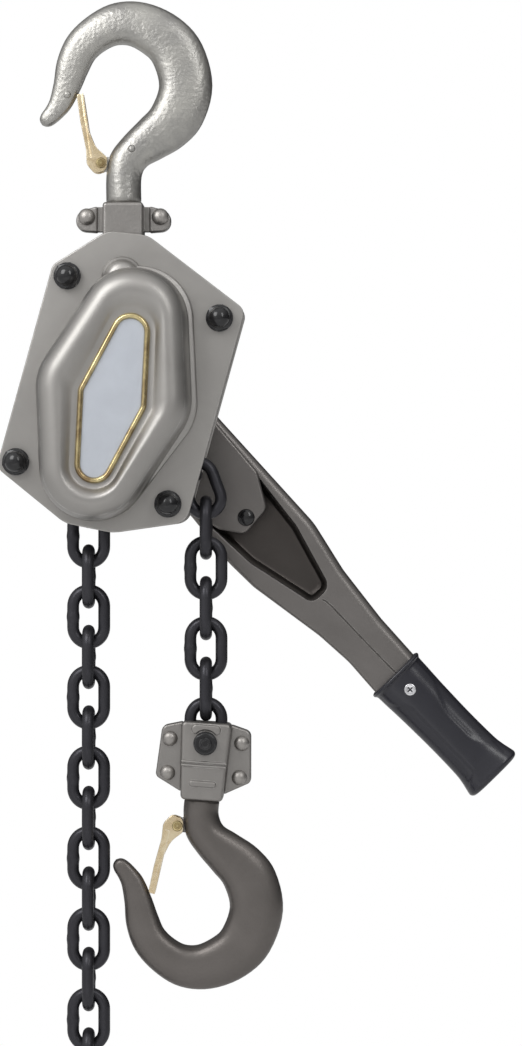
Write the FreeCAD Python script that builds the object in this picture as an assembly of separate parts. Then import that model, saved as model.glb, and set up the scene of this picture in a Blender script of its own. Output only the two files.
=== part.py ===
"""Lever chain hoist (come along winch), about 3 t: hooks, yokes, frame, gears, brake, lever and chain.

Row frame: millimetres, +Z up, +X to the right of the gear side, which faces -Y.
The origin is the saddle of the top hook, where the hoist hangs.
"""

import FreeCAD
import Part
import math
import os

V = FreeCAD.Vector
AXIS_X = V(1, 0, 0)
AXIS_Y = V(0, 1, 0)
AXIS_Z = V(0, 0, 1)
ORIGIN = V(0, 0, 0)

# Drive axis and the tilt of the frame about it
DRIVE_X = -6.0
DRIVE_Z = -264.0
FRAME_TILT = 15.5
LEVER_ANGLE = 45.5

# Clearances
RUN_GAP = 0.05
FACE_GAP = 0.3
LINK_GAP = 0.4

# Load chain
WIRE = 9.0
PITCH = 30.3
LINK_INNER_WIDTH = 14.4
POCKETS = 4
SHEAVE_PHASE = 25.5
LOAD_FALL_X = 67.8
SLACK_FALL_X = -20.5
LEAD_LINKS = 3
LOAD_GROUPS = 3
LOAD_GROUP_LINKS = 2
SLACK_GROUPS = 4
SLACK_GROUP_LINKS = 4

# Side plates and stay bolts, in the frame's own upright axes
PLATE_GAP = 39.0
PLATE_T = 4.0
STAY_X = 59.0
STAY_SHIFT = 1.5
STAY_TOP_Z = 76.0
STAY_BOTTOM_Z = -68.0
STAY_R = 6.0
TOP_PIN_X = -17.6
TOP_PIN_Z = 86.0
TOP_PIN_R = 7.0

# Stay bolt nuts
NUT_ACROSS = 18.0
NUT_H = 6.5
DOME_R = 7.4
WASHER_T = 1.6

# Gear train: teeth and modules
PINION_TEETH = 10
WHEEL_TEETH = 32
FINE_MODULE = 2.0
SMALL_TEETH = 8
LOAD_TEETH = 20
COARSE_MODULE = 3.0
TOOTH_SHARE = 0.40

# Gear train along the drive axis, from the front plate outwards
LOAD_GEAR_START = 3.0
LOAD_GEAR_W = 10.0
WHEEL_START = 15.0
WHEEL_W = 9.0
BEARING_PLATE_START = 26.0
BEARING_PLATE_T = 4.0
COUNTER_JOURNAL_R = 7.0
DRIVE_JOURNAL_R = 6.0
DRIVE_R = 10.0

# Load sheave
SHEAVE_SIDE_GAP = 0.5
JOURNAL_R = 20.0
BEARING_R = 27.0
FLANGE_T = 2.0
FLANGE_R = 42.0
TOOTH_TIP_R = 33.5
STRIPPER = (7.5, -62.0)
STRIPPER_PIN_R = 5.0

# Gear cover
COVER_END_R = 40.0
COVER_END_Z = 56.0
COVER_WAIST = 58.0
COVER_WAIST_R = 30.0
COVER_DEPTH = 42.0
COVER_WALL = 3.0
COVER_ROUND = 14.0
COVER_CREST = 17.0
CASE_SIDE = 5.0
CASE_TOP = 3.0
CASE_T = 5.0
PLAQUE_X = 1.5
PLAQUE_Z = -3.5
PLAQUE_END_R = 10.4
PLAQUE_END_Z = 60.6
PLAQUE_WAIST = 21.8
PLAQUE_WAIST_R = 6.0
PLAQUE_BEAD = 4.3
PLAQUE_DROP = 6.0
PLAQUE_T = 1.0

# Brake, behind the rear plate
BRAKE_COVER_R = 57.0
BRAKE_COVER_DEPTH = 20.5
BRAKE_COVER_WALL = 2.5
BRAKE_HUB_START = 3.0
BRAKE_HUB_T = 4.0
LOAD_HUB_R = 16.0
CHANGE_FLANGE_R = 30.0
CHANGE_COLLAR_R = 16.0
BLISTER_R = 14.0
BLISTER_H = 13.0
FRICTION_T = 2.2
RATCHET_T = 6.0
RATCHET_TEETH = 16
RATCHET_TOOTH_H = 4.5
PAWL_RISE = 14.0
PAWL_PIN_R = 4.0

# Change gear, lever, selector and hand wheel
CHANGE_GEAR_R = 24.0
CHANGE_TEETH = 18
CHANGE_GEAR_W = 10.0
LEVER_START = 24.0
LEVER_SHEET = 2.6
LEVER_DEPTH = 24.0
LEVER_HUB_R = 47.0
LEVER_ROUND = 3.0
BOLT_R = 3.2
SELECTOR_A = 62.0
SELECTOR_R = 5.0
HAND_WHEEL_R = 38.0
HAND_WHEEL_W = 16.0
HAND_WHEEL_LOBES = 8

# Hooks
HOOK_SHANK_R = 13.2
HOOK_HEAD_R = 11.4
HOOK_HEAD_H = 9.0
HOOK_NECK_R = 7.6
TOP_SHANK_Z = -119.0
BOTTOM_SHANK_LENGTH = 110.0
LATCH_T = 1.6
LATCH_PIN_R = 2.4

# Yokes
YOKE_HALF_WIDTH = 15.0
YOKE_DEPTH = 34.0
EAR_REACH = 35.6
EAR_T = 5.0
RIVET_R = 3.5
RIVET_HEAD_R = 6.2
CHAIN_PIN_R = 5.0
YOKE_TOP = 10.5
YOKE_CHAIN_TOP = 15.6
YOKE_CHAIN_BOTTOM = 43.0
BLOCK_TILT = 4.0
EAR_BLOCK_T = 7.0

# Sizes worked out from those above
HALF_GAP = PLATE_GAP / 2
FRONT_FACE = -(HALF_GAP + PLATE_T)
REAR_FACE = HALF_GAP + PLATE_T
TILT_COS = math.cos(math.radians(FRAME_TILT))
TILT_SIN = math.sin(math.radians(FRAME_TILT))
LINK_STRAIGHT = PITCH + LINK_GAP - LINK_INNER_WIDTH
LINK_BEND_R = (LINK_INNER_WIDTH + WIRE) / 2
LINK_HALF_WIDTH = LINK_BEND_R + WIRE / 2
LINK_PLAY = (LINK_INNER_WIDTH - WIRE) / 2 - LINK_GAP
HINGE_STAND = (LINK_STRAIGHT + LINK_PLAY) / 2
HINGE_CROSS = PITCH - HINGE_STAND
HINGE_CORNER = math.cos(math.pi / POCKETS) * 2 * HINGE_STAND * HINGE_CROSS
VERTEX_R = math.sqrt(HINGE_STAND ** 2 + HINGE_CROSS ** 2 + HINGE_CORNER) / math.sin(math.pi / POCKETS)
CROSS_TURN = 2 * math.degrees(math.asin(HINGE_CROSS / VERTEX_R))
CROSS_R = math.sqrt(VERTEX_R ** 2 - HINGE_CROSS ** 2)
STAND_R = math.sqrt(VERTEX_R ** 2 - HINGE_STAND ** 2)
LOAD_LEAD = 2 * (2 * HINGE_STAND + HINGE_CROSS)
SLACK_LEAD = 2 * (2 * HINGE_CROSS + HINGE_STAND)
GEAR_CENTRES = (PINION_TEETH + WHEEL_TEETH) * FINE_MODULE / 2
PAWL_PIVOT = BRAKE_COVER_R - BRAKE_COVER_WALL - 10.5
RATCHET_R = PAWL_PIVOT - 14.4
BRAKE_HUB_R = RATCHET_R + 0.4


def rod(x, z, radius, y0, y1):
    """A cylinder along Y."""
    return Part.makeCylinder(radius, y1 - y0, V(x, y0, z), AXIS_Y)


def ring(x, z, outer, inner, y0, y1):
    """A tube along Y."""
    return rod(x, z, outer, y0, y1).cut(rod(x, z, inner, y0 - 1, y1 + 1))


def slab(wire, y0, y1):
    """A closed outline in the XZ plane, drawn at Y = 0, made a slab from y0 to y1."""
    face = Part.Face(wire)
    face.translate(V(0, y0, 0))
    return face.extrude(V(0, y1 - y0, 0))


def belt(circles, y=0.0):
    """The outline of a belt round circles (x, z, radius), given anticlockwise."""
    count = len(circles)
    turns = []
    for i in range(count):
        x0, z0, r0 = circles[i]
        x1, z1, r1 = circles[(i + 1) % count]
        length = math.hypot(x1 - x0, z1 - z0)
        turns.append(math.atan2(z1 - z0, x1 - x0) - math.acos((r0 - r1) / length))
    edges = []
    for i in range(count):
        x, z, r = circles[i]
        start = turns[i - 1]
        sweep = (turns[i] - start) % (2 * math.pi)
        angles = [start, start + sweep / 2, start + sweep]
        ends = [V(x + r * math.cos(a), y, z + r * math.sin(a)) for a in angles]
        edges.append(Part.Arc(*ends).toShape())
        nx, nz, nr = circles[(i + 1) % count]
        to = V(nx + nr * math.cos(turns[i]), y, nz + nr * math.sin(turns[i]))
        edges.append(Part.LineSegment(ends[2], to).toShape())
    return Part.Wire(edges)


def rounded(points, y=0.0):
    """A closed outline through corners (x, z, radius), each corner rounded by its radius."""
    count = len(points)
    arcs = []
    for i in range(count):
        here = V(points[i][0], y, points[i][1])
        before = V(points[i - 1][0], y, points[i - 1][1]) - here
        after = V(points[(i + 1) % count][0], y, points[(i + 1) % count][1]) - here
        half = before.getAngle(after) / 2
        before.normalize()
        after.normalize()
        reach = points[i][2] / math.tan(half)
        bisector = before + after
        bisector.normalize()
        middle = here + bisector * (points[i][2] / math.sin(half) - points[i][2])
        arcs.append((here + before * reach, middle, here + after * reach))
    edges = []
    for i in range(count):
        edges.append(Part.Arc(*arcs[i]).toShape())
        edges.append(Part.LineSegment(arcs[i][2], arcs[(i + 1) % count][0]).toShape())
    return Part.Wire(edges)


def fused(shapes):
    """Solids that touch or overlap, joined into one."""
    whole = shapes[0]
    for shape in shapes[1:]:
        whole = whole.fuse(shape)
    return whole.removeSplitter()


def group(shapes):
    """Separate solids in one node."""
    return Part.makeCompound(shapes)


def in_frame(shape):
    """Takes a piece drawn in the frame's upright axes, round the drive axis, to its place."""
    placed = shape.copy()
    placed.rotate(ORIGIN, AXIS_Y, FRAME_TILT)
    placed.translate(V(DRIVE_X, 0, DRIVE_Z))
    return placed


def on_drive(shape):
    """Takes a piece drawn round the Y axis to the drive axis, without the frame's tilt."""
    placed = shape.copy()
    placed.translate(V(DRIVE_X, 0, DRIVE_Z))
    return placed


def on_lever(shape):
    """Takes a piece drawn with X along the lever and Z across it to its place."""
    placed = shape.copy()
    placed.rotate(ORIGIN, AXIS_Y, LEVER_ANGLE)
    placed.translate(V(DRIVE_X, 0, DRIVE_Z))
    return placed


NODES = {}


def keep(name, shape):
    """Holds a finished piece under its node's name."""
    NODES[name] = shape


# Load chain

def link():
    """One welded link at the origin, long side along Z, flat in the XZ plane."""
    half = LINK_STRAIGHT / 2
    bend = LINK_BEND_R
    tops = [V(-bend, 0, half), V(0, 0, half + bend), V(bend, 0, half)]
    bottoms = [V(bend, 0, -half), V(0, 0, -half - bend), V(-bend, 0, -half)]
    path = Part.Wire([
        Part.Arc(*tops).toShape(),
        Part.LineSegment(tops[2], bottoms[0]).toShape(),
        Part.Arc(*bottoms).toShape(),
        Part.LineSegment(bottoms[2], tops[0]).toShape(),
    ])
    section = Part.Wire(Part.makeCircle(WIRE / 2, tops[0], AXIS_Z))
    return path.makePipeShell([section], True, False)


LINK = link()


def placed_link(x, z, lean, edge_on):
    """A link whose centre lies at x, z from the drive axis, leaning by lean degrees about Y."""
    shape = LINK.copy()
    if edge_on:
        shape.rotate(ORIGIN, AXIS_Z, 90)
    shape.rotate(ORIGIN, AXIS_Y, lean)
    shape.translate(V(DRIVE_X + x, 0, DRIVE_Z + z))
    return shape


def vertex(index):
    """The hinge point between two links round the sheave, counted from the load side."""
    turn = SHEAVE_PHASE - CROSS_TURN / 2 + index // 2 * 360 / POCKETS + index % 2 * CROSS_TURN
    angle = math.radians(turn)
    return VERTEX_R * math.cos(angle), VERTEX_R * math.sin(angle)


def links_between(start, end, count, first_edge_on):
    """Links on the straight line from start to end, each spanning its two hinge points."""
    dx = end[0] - start[0]
    dz = end[1] - start[1]
    length = math.hypot(dx, dz)
    lean = math.degrees(math.atan2(dx, dz))
    reach = 0.0
    links = []
    for i in range(count):
        edge_on = (i % 2 == 0) == first_edge_on
        half = HINGE_CROSS if edge_on else HINGE_STAND
        share = (reach + half) / length
        links.append(placed_link(start[0] + dx * share, start[1] + dz * share, lean, edge_on))
        reach += 2 * half
    return links


def below(start, x, length):
    """The point on the plumb line at x that a taut lead of this length reaches from start."""
    return x, start[1] - math.sqrt(length ** 2 - (x - start[0]) ** 2)


LOAD_START = vertex(0)
SLACK_START = vertex(POCKETS)
LOAD_BEND = below(LOAD_START, LOAD_FALL_X, LOAD_LEAD)
SLACK_BEND = below(SLACK_START, SLACK_FALL_X, SLACK_LEAD)


def fall(x, bend, first_edge_on, groups, per_group, name):
    """A plumb fall of links under a bend point, in groups that hinge on each other."""
    for g in range(groups):
        top = bend[1] - g * per_group * PITCH
        start, end = (x, top), (x, top - per_group * PITCH)
        edge_on = first_edge_on if per_group % 2 == 0 or g % 2 == 0 else not first_edge_on
        keep(f"{name}_{g + 1}", group(links_between(start, end, per_group, edge_on)))


def chain():
    wrap = []
    for i in range(POCKETS):
        wrap += links_between(vertex(i), vertex(i + 1), 1, i % 2 == 0)
    keep("sheave_chain_links", group(wrap))
    keep("load_chain_lead", group(links_between(LOAD_START, LOAD_BEND, LEAD_LINKS, False)))
    keep("slack_chain_lead", group(links_between(SLACK_START, SLACK_BEND, LEAD_LINKS, True)))
    fall(LOAD_FALL_X, LOAD_BEND, True, LOAD_GROUPS, LOAD_GROUP_LINKS, "load_chain")
    fall(SLACK_FALL_X, SLACK_BEND, False, SLACK_GROUPS, SLACK_GROUP_LINKS, "slack_chain")


LINK_REACH = (LINK_STRAIGHT + LINK_INNER_WIDTH) / 2 - LINK_GAP
LOAD_END_Z = LOAD_BEND[1] - LOAD_GROUPS * LOAD_GROUP_LINKS * PITCH
LOAD_PIN_Z = LOAD_END_Z + HINGE_STAND - LINK_REACH + CHAIN_PIN_R
SLACK_END_Z = SLACK_BEND[1] - SLACK_GROUPS * SLACK_GROUP_LINKS * PITCH
END_RING_R = 17.0
END_RING_WIRE = 6.0


def end_ring():
    """The stop ring that hangs in the last link of the slack fall."""
    ring_top = SLACK_END_Z + HINGE_CROSS - LINK_REACH + END_RING_WIRE / 2
    centre = V(DRIVE_X + SLACK_FALL_X, 0, DRIVE_Z + ring_top - END_RING_R)
    keep("chain_end_ring", Part.makeTorus(END_RING_R, END_RING_WIRE / 2, centre, AXIS_Y))


# Frame

def plate_outline():
    """The side plate's outline in the frame's axes: a hexagon whose peak carries the top pin."""
    return rounded([
        (-70.5, -76, 9), (-10, -102.5, 24), (26, -100, 24), (77.5, -77.5, 12),
        (77.5, 87, 9), (-8, 121.5, 22), (-38, 116.5, 20), (-70.5, 81, 9),
    ])


STAYS = [(STAY_SHIFT + side * STAY_X, z) for z in (STAY_TOP_Z, STAY_BOTTOM_Z) for side in (-1, 1)]
COUNTER_AXES = [(0, GEAR_CENTRES), (0, -GEAR_CENTRES)]


def side_plates():
    outline = plate_outline()
    for name, y0 in (("side_plate_gear_side", FRONT_FACE), ("side_plate_lever_side", HALF_GAP)):
        plate = slab(outline, y0, y0 + PLATE_T)
        holes = [rod(x, z, STAY_R + RUN_GAP, y0 - 1, y0 + PLATE_T + 1) for x, z in STAYS]
        holes.append(rod(TOP_PIN_X, TOP_PIN_Z, TOP_PIN_R + RUN_GAP, y0 - 1, y0 + PLATE_T + 1))
        holes.append(rod(0, 0, BEARING_R, y0 - 1, y0 + PLATE_T + 1))
        if name == "side_plate_gear_side":
            places, radius = COUNTER_AXES, COUNTER_JOURNAL_R + RUN_GAP
        else:
            places, radius = pawl_pivots(), PAWL_PIN_R
        holes += [rod(x, z, radius, y0 - 1, y0 + PLATE_T + 1) for x, z in places]
        keep(name, in_frame(plate.cut(group(holes))))


def stay_bolts():
    """Four shouldered stay bolts that hold the plates apart, with thread ends under the domed nuts."""
    bolts = []
    end = REAR_FACE + WASHER_T + NUT_H
    for x, z in STAYS:
        body = rod(x, z, STAY_R, -end, end)
        if (x, z) != STAYS[3]:
            body = body.fuse(rod(x, z, STAY_R + 2.5, -HALF_GAP, HALF_GAP))
        bolts.append(body.removeSplitter())
    keep("stay_bolts", in_frame(group(bolts)))


def hexagon_outline(x, z, corner):
    """A hexagon round x, z with its corners at this distance."""
    angles = [k * math.pi / 3 for k in range(7)]
    return Part.makePolygon([V(x + corner * math.cos(a), 0, z + corner * math.sin(a)) for a in angles])


def domed_nut(x, z, face, side):
    """A washer, a hexagon and its dome, on the outer side of a plate."""
    corner = NUT_ACROSS / 2 / math.cos(math.pi / 6)
    hexagon = slab(hexagon_outline(x, z, corner), WASHER_T, WASHER_T + NUT_H)
    bevel = Part.makeCone(corner + NUT_H * 0.8, corner - 1.0, NUT_H, V(x, WASHER_T, z), AXIS_Y)
    dome = Part.makeSphere(DOME_R, V(x, WASHER_T + NUT_H - 1.0, z))
    nut = hexagon.common(bevel).fuse(dome).fuse(rod(x, z, NUT_ACROSS / 2 + 1.2, 0, WASHER_T))
    bore = rod(x, z, STAY_R, -1, WASHER_T + NUT_H)
    nut = nut.cut(rod(x, z, NUT_ACROSS, -DOME_R, 0)).cut(bore).removeSplitter()
    if side < 0:
        nut = nut.mirror(ORIGIN, AXIS_Y)
    nut.translate(V(0, face, 0))
    return nut


def domed_nuts():
    sides = ((FRONT_FACE, -1), (REAR_FACE, 1))
    nuts = [domed_nut(x, z, face, side) for x, z in STAYS for face, side in sides]
    keep("domed_nuts", in_frame(group(nuts)))


def guides():
    """The roller on the lower right stay, the slack side's chain guide and the stripper under the sheave."""
    x, z = STAYS[3]
    roller = ring(x, z, STAY_R + 2.4, STAY_R + RUN_GAP, -HALF_GAP + FACE_GAP, HALF_GAP - FACE_GAP)
    keep("chain_guide_roller", in_frame(roller))

    lead_x = SLACK_BEND[0] - SLACK_START[0]
    lead_z = SLACK_BEND[1] - SLACK_START[1]
    reach = LINK_HALF_WIDTH + 2.2
    beside = (SLACK_START[0] + lead_z / SLACK_LEAD * reach, SLACK_START[1] - lead_x / SLACK_LEAD * reach)
    faces = [(beside[0] + lead_x * s, beside[1] + lead_z * s) for s in (0.46, 0.84)]
    last = (SLACK_FALL_X - reach, faces[1][1] - 5.5)
    stay_x = STAYS[2][0] * TILT_COS + STAYS[2][1] * TILT_SIN
    stay_z = STAYS[2][1] * TILT_COS - STAYS[2][0] * TILT_SIN
    back = [(last[0] - 5, last[1] + 5), (faces[1][0] - 12, faces[1][1] + 6), (faces[0][0] - 6, faces[0][1])]
    edge = faces + [last] + back + faces[:1]
    corners = [V(px, 0, pz) for px, pz in edge]
    blade = slab(Part.makePolygon(corners), -HALF_GAP + FACE_GAP, HALF_GAP - FACE_GAP)
    heel = (faces[1][0] - 9, faces[1][1] + 8, 4)
    arm = slab(belt([(stay_x, stay_z, 12), heel, (faces[0][0] - 5, faces[0][1] - 4, 3.5)]), -10, 10)
    hole = rod(stay_x, stay_z, STAY_R + 2.5, -HALF_GAP, HALF_GAP)
    guide = blade.fuse(arm).cut(hole).removeSplitter()

    x, z = STRIPPER
    foot = [(x - 16, z + 14, 3), (x + 16, z + 14, 3), (x + 12, z - 12, 5), (x - 8, z - 12, 5)]
    block = slab(rounded(foot), -HALF_GAP, HALF_GAP)
    tip = -(STAND_R - LINK_HALF_WIDTH + 2.2)
    half_t = WIRE / 2 - 0.3
    blade = [(x - 9, z + 2, 1), (x + 6, z + 2, 1), (x + 3, tip, 2), (x - 3, tip, 2)]
    finger = slab(rounded(blade), -half_t, half_t)
    tenon = rod(x, z, STRIPPER_PIN_R, FRONT_FACE, REAR_FACE)
    keep("chain_guides", on_drive(group([guide, fused([block, finger, tenon])])))
    for name in ("side_plate_gear_side", "side_plate_lever_side"):
        keep(name, NODES[name].cut(on_drive(rod(x, z, STRIPPER_PIN_R, FRONT_FACE - 1, REAR_FACE + 1))))


# Gears, shaft and sheave

def gear_outline(teeth, module, phase, x, z):
    """A spur gear's outline: stub teeth with involute flanks, one tooth centred at phase degrees."""
    pitch_r = teeth * module / 2
    base_r = pitch_r * math.cos(math.radians(20))
    root_r = pitch_r - 1.1 * module
    tip_r = pitch_r + 0.8 * module
    radii = [max(root_r, base_r) + (tip_r - max(root_r, base_r)) * k / 3 for k in range(4)]

    def half_angle(r):
        roll = math.acos(min(1.0, base_r / r))
        flat = math.radians(20)
        return math.pi * TOOTH_SHARE / teeth + (math.tan(flat) - flat) - (math.tan(roll) - roll)

    def at(r, angle):
        return V(x + r * math.cos(angle), 0, z + r * math.sin(angle))

    points = []
    for t in range(teeth):
        middle = math.radians(phase) + t * 2 * math.pi / teeth
        points.append(at(root_r, middle - half_angle(radii[0])))
        points += [at(r, middle - half_angle(r)) for r in radii if r > root_r + 0.01]
        points += [at(r, middle + half_angle(r)) for r in reversed(radii) if r > root_r + 0.01]
        points.append(at(root_r, middle + half_angle(radii[0])))
    return Part.makePolygon(points + [points[0]])


def gear(teeth, module, phase, x, z, start, width):
    """A gear on the front of the gear side plate, start being its distance from the plate."""
    return slab(gear_outline(teeth, module, phase, x, z), FRONT_FACE - start - width, FRONT_FACE - start)


GEAR_SHAFT_END = FRONT_FACE - BEARING_PLATE_START - BEARING_PLATE_T


def gears():
    load = gear(LOAD_TEETH, COARSE_MODULE, 90 + 180 / LOAD_TEETH, 0, 0, LOAD_GEAR_START, LOAD_GEAR_W)
    hub = rod(0, 0, LOAD_HUB_R, FRONT_FACE - LOAD_GEAR_START - LOAD_GEAR_W - 1, 0)
    keep("load_gear", in_frame(load.cut(hub)))
    places = (("intermediate_gear_upper", GEAR_CENTRES, 270), ("intermediate_gear_lower", -GEAR_CENTRES, 90))
    for name, z, side in places:
        wheel = gear(WHEEL_TEETH, FINE_MODULE, side + 180 / WHEEL_TEETH, 0, z, WHEEL_START, WHEEL_W)
        small = gear(SMALL_TEETH, COARSE_MODULE, side, 0, z, LOAD_GEAR_START, LOAD_GEAR_W)
        shaft = rod(0, z, COUNTER_JOURNAL_R, GEAR_SHAFT_END, -HALF_GAP)
        keep(name, in_frame(fused([wheel, small, shaft])))


BRAKE_START = REAR_FACE + BRAKE_HUB_START
RATCHET_START = BRAKE_START + BRAKE_HUB_T + FRICTION_T
CHANGE_START = RATCHET_START + RATCHET_T + FRICTION_T
LEVER_FRONT = REAR_FACE + LEVER_START
LEVER_REAR = LEVER_FRONT + LEVER_DEPTH


def drive_shaft():
    """The shaft along the drive axis: its pinion, the brake hub and the threaded end."""
    pinion_start = FRONT_FACE - WHEEL_START
    pinion = gear(PINION_TEETH, FINE_MODULE, 90, 0, 0, WHEEL_START, WHEEL_W)
    journal = rod(0, 0, DRIVE_JOURNAL_R, GEAR_SHAFT_END, pinion_start - WHEEL_W)
    body = rod(0, 0, DRIVE_R, pinion_start, LEVER_REAR + HAND_WHEEL_W)
    tail = rod(0, 0, DRIVE_R - 3, LEVER_REAR, LEVER_REAR + HAND_WHEEL_W + 12)
    hub = rod(0, 0, BRAKE_HUB_R, BRAKE_START, BRAKE_START + BRAKE_HUB_T)
    keep("drive_shaft", in_frame(fused([pinion, journal, body, tail, hub])))


def load_sheave():
    """The pocket wheel: flats for the cross links, a groove for the standing links, two flanges."""
    half = HALF_GAP - SHEAVE_SIDE_GAP
    wheel = rod(0, 0, TOOTH_TIP_R, -half + FLANGE_T, half - FLANGE_T)
    floor = CROSS_R - WIRE / 2 - 0.4
    step = 360 / POCKETS
    for i in range(POCKETS):
        flat = Part.makeBox(20, 2 * half, 80, V(floor, -half, -40))
        flat.rotate(ORIGIN, AXIS_Y, -(SHEAVE_PHASE + i * step))
        wheel = wheel.cut(flat)
    groove = ring(0, 0, TOOTH_TIP_R + 5, STAND_R - LINK_HALF_WIDTH - 0.7, -WIRE / 2 - 0.8, WIRE / 2 + 0.8)
    wheel = wheel.cut(groove)
    flanges = [rod(0, 0, FLANGE_R, -half, -half + FLANGE_T), rod(0, 0, FLANGE_R, half - FLANGE_T, half)]
    journals = rod(0, 0, JOURNAL_R, FRONT_FACE - 0.5, REAR_FACE + 0.5)
    hub = rod(0, 0, LOAD_HUB_R, FRONT_FACE - LOAD_GEAR_START - LOAD_GEAR_W, FRONT_FACE)
    bore = rod(0, 0, DRIVE_R + RUN_GAP, -80, 80)
    keep("load_sheave", on_drive(fused([wheel, journals, hub] + flanges).cut(bore)))
    starts = (FRONT_FACE, HALF_GAP)
    bearings = [ring(0, 0, BEARING_R, JOURNAL_R + RUN_GAP, y0, y0 + PLATE_T) for y0 in starts]
    keep("sheave_bearings", on_drive(group(bearings)))


PILLARS = [(42, -12), (42, 12), (-42, 12), (-42, -12)]
PILLAR_R = 4.0


def bearing_plate():
    """The plate inside the cover that carries the outer ends of the gear shafts, on four pillars."""
    start = FRONT_FACE - BEARING_PLATE_START
    outline = belt([(42, -12, 8), (42, 12, 8), (0, 42, 16), (-42, 12, 8), (-42, -12, 8), (0, -42, 16)])
    plate = slab(outline, start - BEARING_PLATE_T, start)
    pillars = [rod(x, z, PILLAR_R, start, FRONT_FACE) for x, z in PILLARS]
    bores = [rod(x, z, COUNTER_JOURNAL_R + RUN_GAP, start - 10, start + 1) for x, z in COUNTER_AXES]
    bores.append(rod(0, 0, DRIVE_JOURNAL_R + RUN_GAP, start - 10, start + 1))
    keep("gear_bearing_plate", in_frame(fused([plate] + pillars).cut(group(bores))))


def cover_outline(grow):
    """The gear cover's long outline, grown or shrunk by a wall."""
    return belt([
        (COVER_WAIST - COVER_WAIST_R, 0, COVER_WAIST_R + grow),
        (0, COVER_END_Z, COVER_END_R + grow),
        (COVER_WAIST_R - COVER_WAIST, 0, COVER_WAIST_R + grow),
        (0, -COVER_END_Z, COVER_END_R + grow),
    ])


def foot_outline():
    """The stepped foot's outline, which shows past the cover at the top and on the right."""
    return belt([
        (COVER_WAIST - COVER_WAIST_R + CASE_SIDE, 0, COVER_WAIST_R),
        (CASE_TOP, COVER_END_Z + 2, COVER_END_R + 1),
        (COVER_WAIST_R - COVER_WAIST, 0, COVER_WAIST_R + 0.8),
        (0, -COVER_END_Z, COVER_END_R + 0.8),
    ])


def plaque_outline(grow):
    """The name plate's outline, long and narrow, widest in the middle."""
    side = PLAQUE_WAIST - PLAQUE_WAIST_R
    end = PLAQUE_END_Z - PLAQUE_END_R
    return belt([
        (PLAQUE_X + side, PLAQUE_Z, PLAQUE_WAIST_R + grow),
        (PLAQUE_X, PLAQUE_Z + end, PLAQUE_END_R + grow),
        (PLAQUE_X - side, PLAQUE_Z, PLAQUE_WAIST_R + grow),
        (PLAQUE_X, PLAQUE_Z - end, PLAQUE_END_R + grow),
    ])


def rim_edges(shape, y):
    """The edges of a shape that lie wholly in the plane at y."""
    return [e for e in shape.Edges if abs(e.BoundBox.YMin - y) < 0.01 and abs(e.BoundBox.YMax - y) < 0.01]


COVER_FRONT = FRONT_FACE - COVER_DEPTH


def dish(grow, start):
    """The hollow inside the cover's ridge, sloping from the crest down to the bead's foot."""
    crest = cover_outline(grow - COVER_CREST)
    crest.translate(V(0, start, 0))
    sunk = plaque_outline(PLAQUE_BEAD + 1 + grow)
    sunk.translate(V(0, start + PLAQUE_DROP, 0))
    return Part.makeLoft([crest, sunk], True, True)


def gear_cover():
    """The pressed cover: a rounded ridge round a sunk panel, a stepped foot and the top pin's blister."""
    bulge = slab(cover_outline(0), COVER_FRONT, FRONT_FACE)
    bulge = bulge.makeFillet(COVER_ROUND, rim_edges(bulge, COVER_FRONT))
    foot = slab(foot_outline(), FRONT_FACE - CASE_T, FRONT_FACE)
    foot = foot.makeFillet(2.0, rim_edges(foot, FRONT_FACE - CASE_T))
    blister = rod(TOP_PIN_X, TOP_PIN_Z, BLISTER_R, FRONT_FACE - BLISTER_H, FRONT_FACE)
    blister = blister.makeFillet(BLISTER_H - 3, rim_edges(blister, FRONT_FACE - BLISTER_H))
    outside = fused([bulge, foot, blister]).cut(dish(0, COVER_FRONT))
    wall = COVER_WALL
    hollow = slab(cover_outline(-wall), COVER_FRONT + wall, FRONT_FACE)
    hollow = hollow.makeFillet(COVER_ROUND - wall, rim_edges(hollow, COVER_FRONT + wall))
    hollow = hollow.cut(dish(wall / 2, COVER_FRONT + wall))
    pin_room = rod(TOP_PIN_X, TOP_PIN_Z, BLISTER_R - wall, FRONT_FACE - BLISTER_H + wall, FRONT_FACE)
    keep("gear_cover", in_frame(outside.cut(hollow.fuse(pin_room))))

    floor = COVER_FRONT + PLAQUE_DROP
    bead = slab(plaque_outline(PLAQUE_BEAD), floor - 3.4, floor)
    bead = bead.cut(slab(plaque_outline(0), floor - 5, floor + 1))
    bead = bead.makeFillet(1.2, rim_edges(bead, floor - 3.4))
    keep("plaque_bead", in_frame(bead))
    keep("plaque", in_frame(slab(plaque_outline(-0.05), floor - PLAQUE_T, floor)))


# Brake

def pawl_pivots():
    """The two brake pawl pins in the frame's axes."""
    return [(-PAWL_PIVOT, PAWL_RISE), (PAWL_PIVOT, -PAWL_RISE)]


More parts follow.
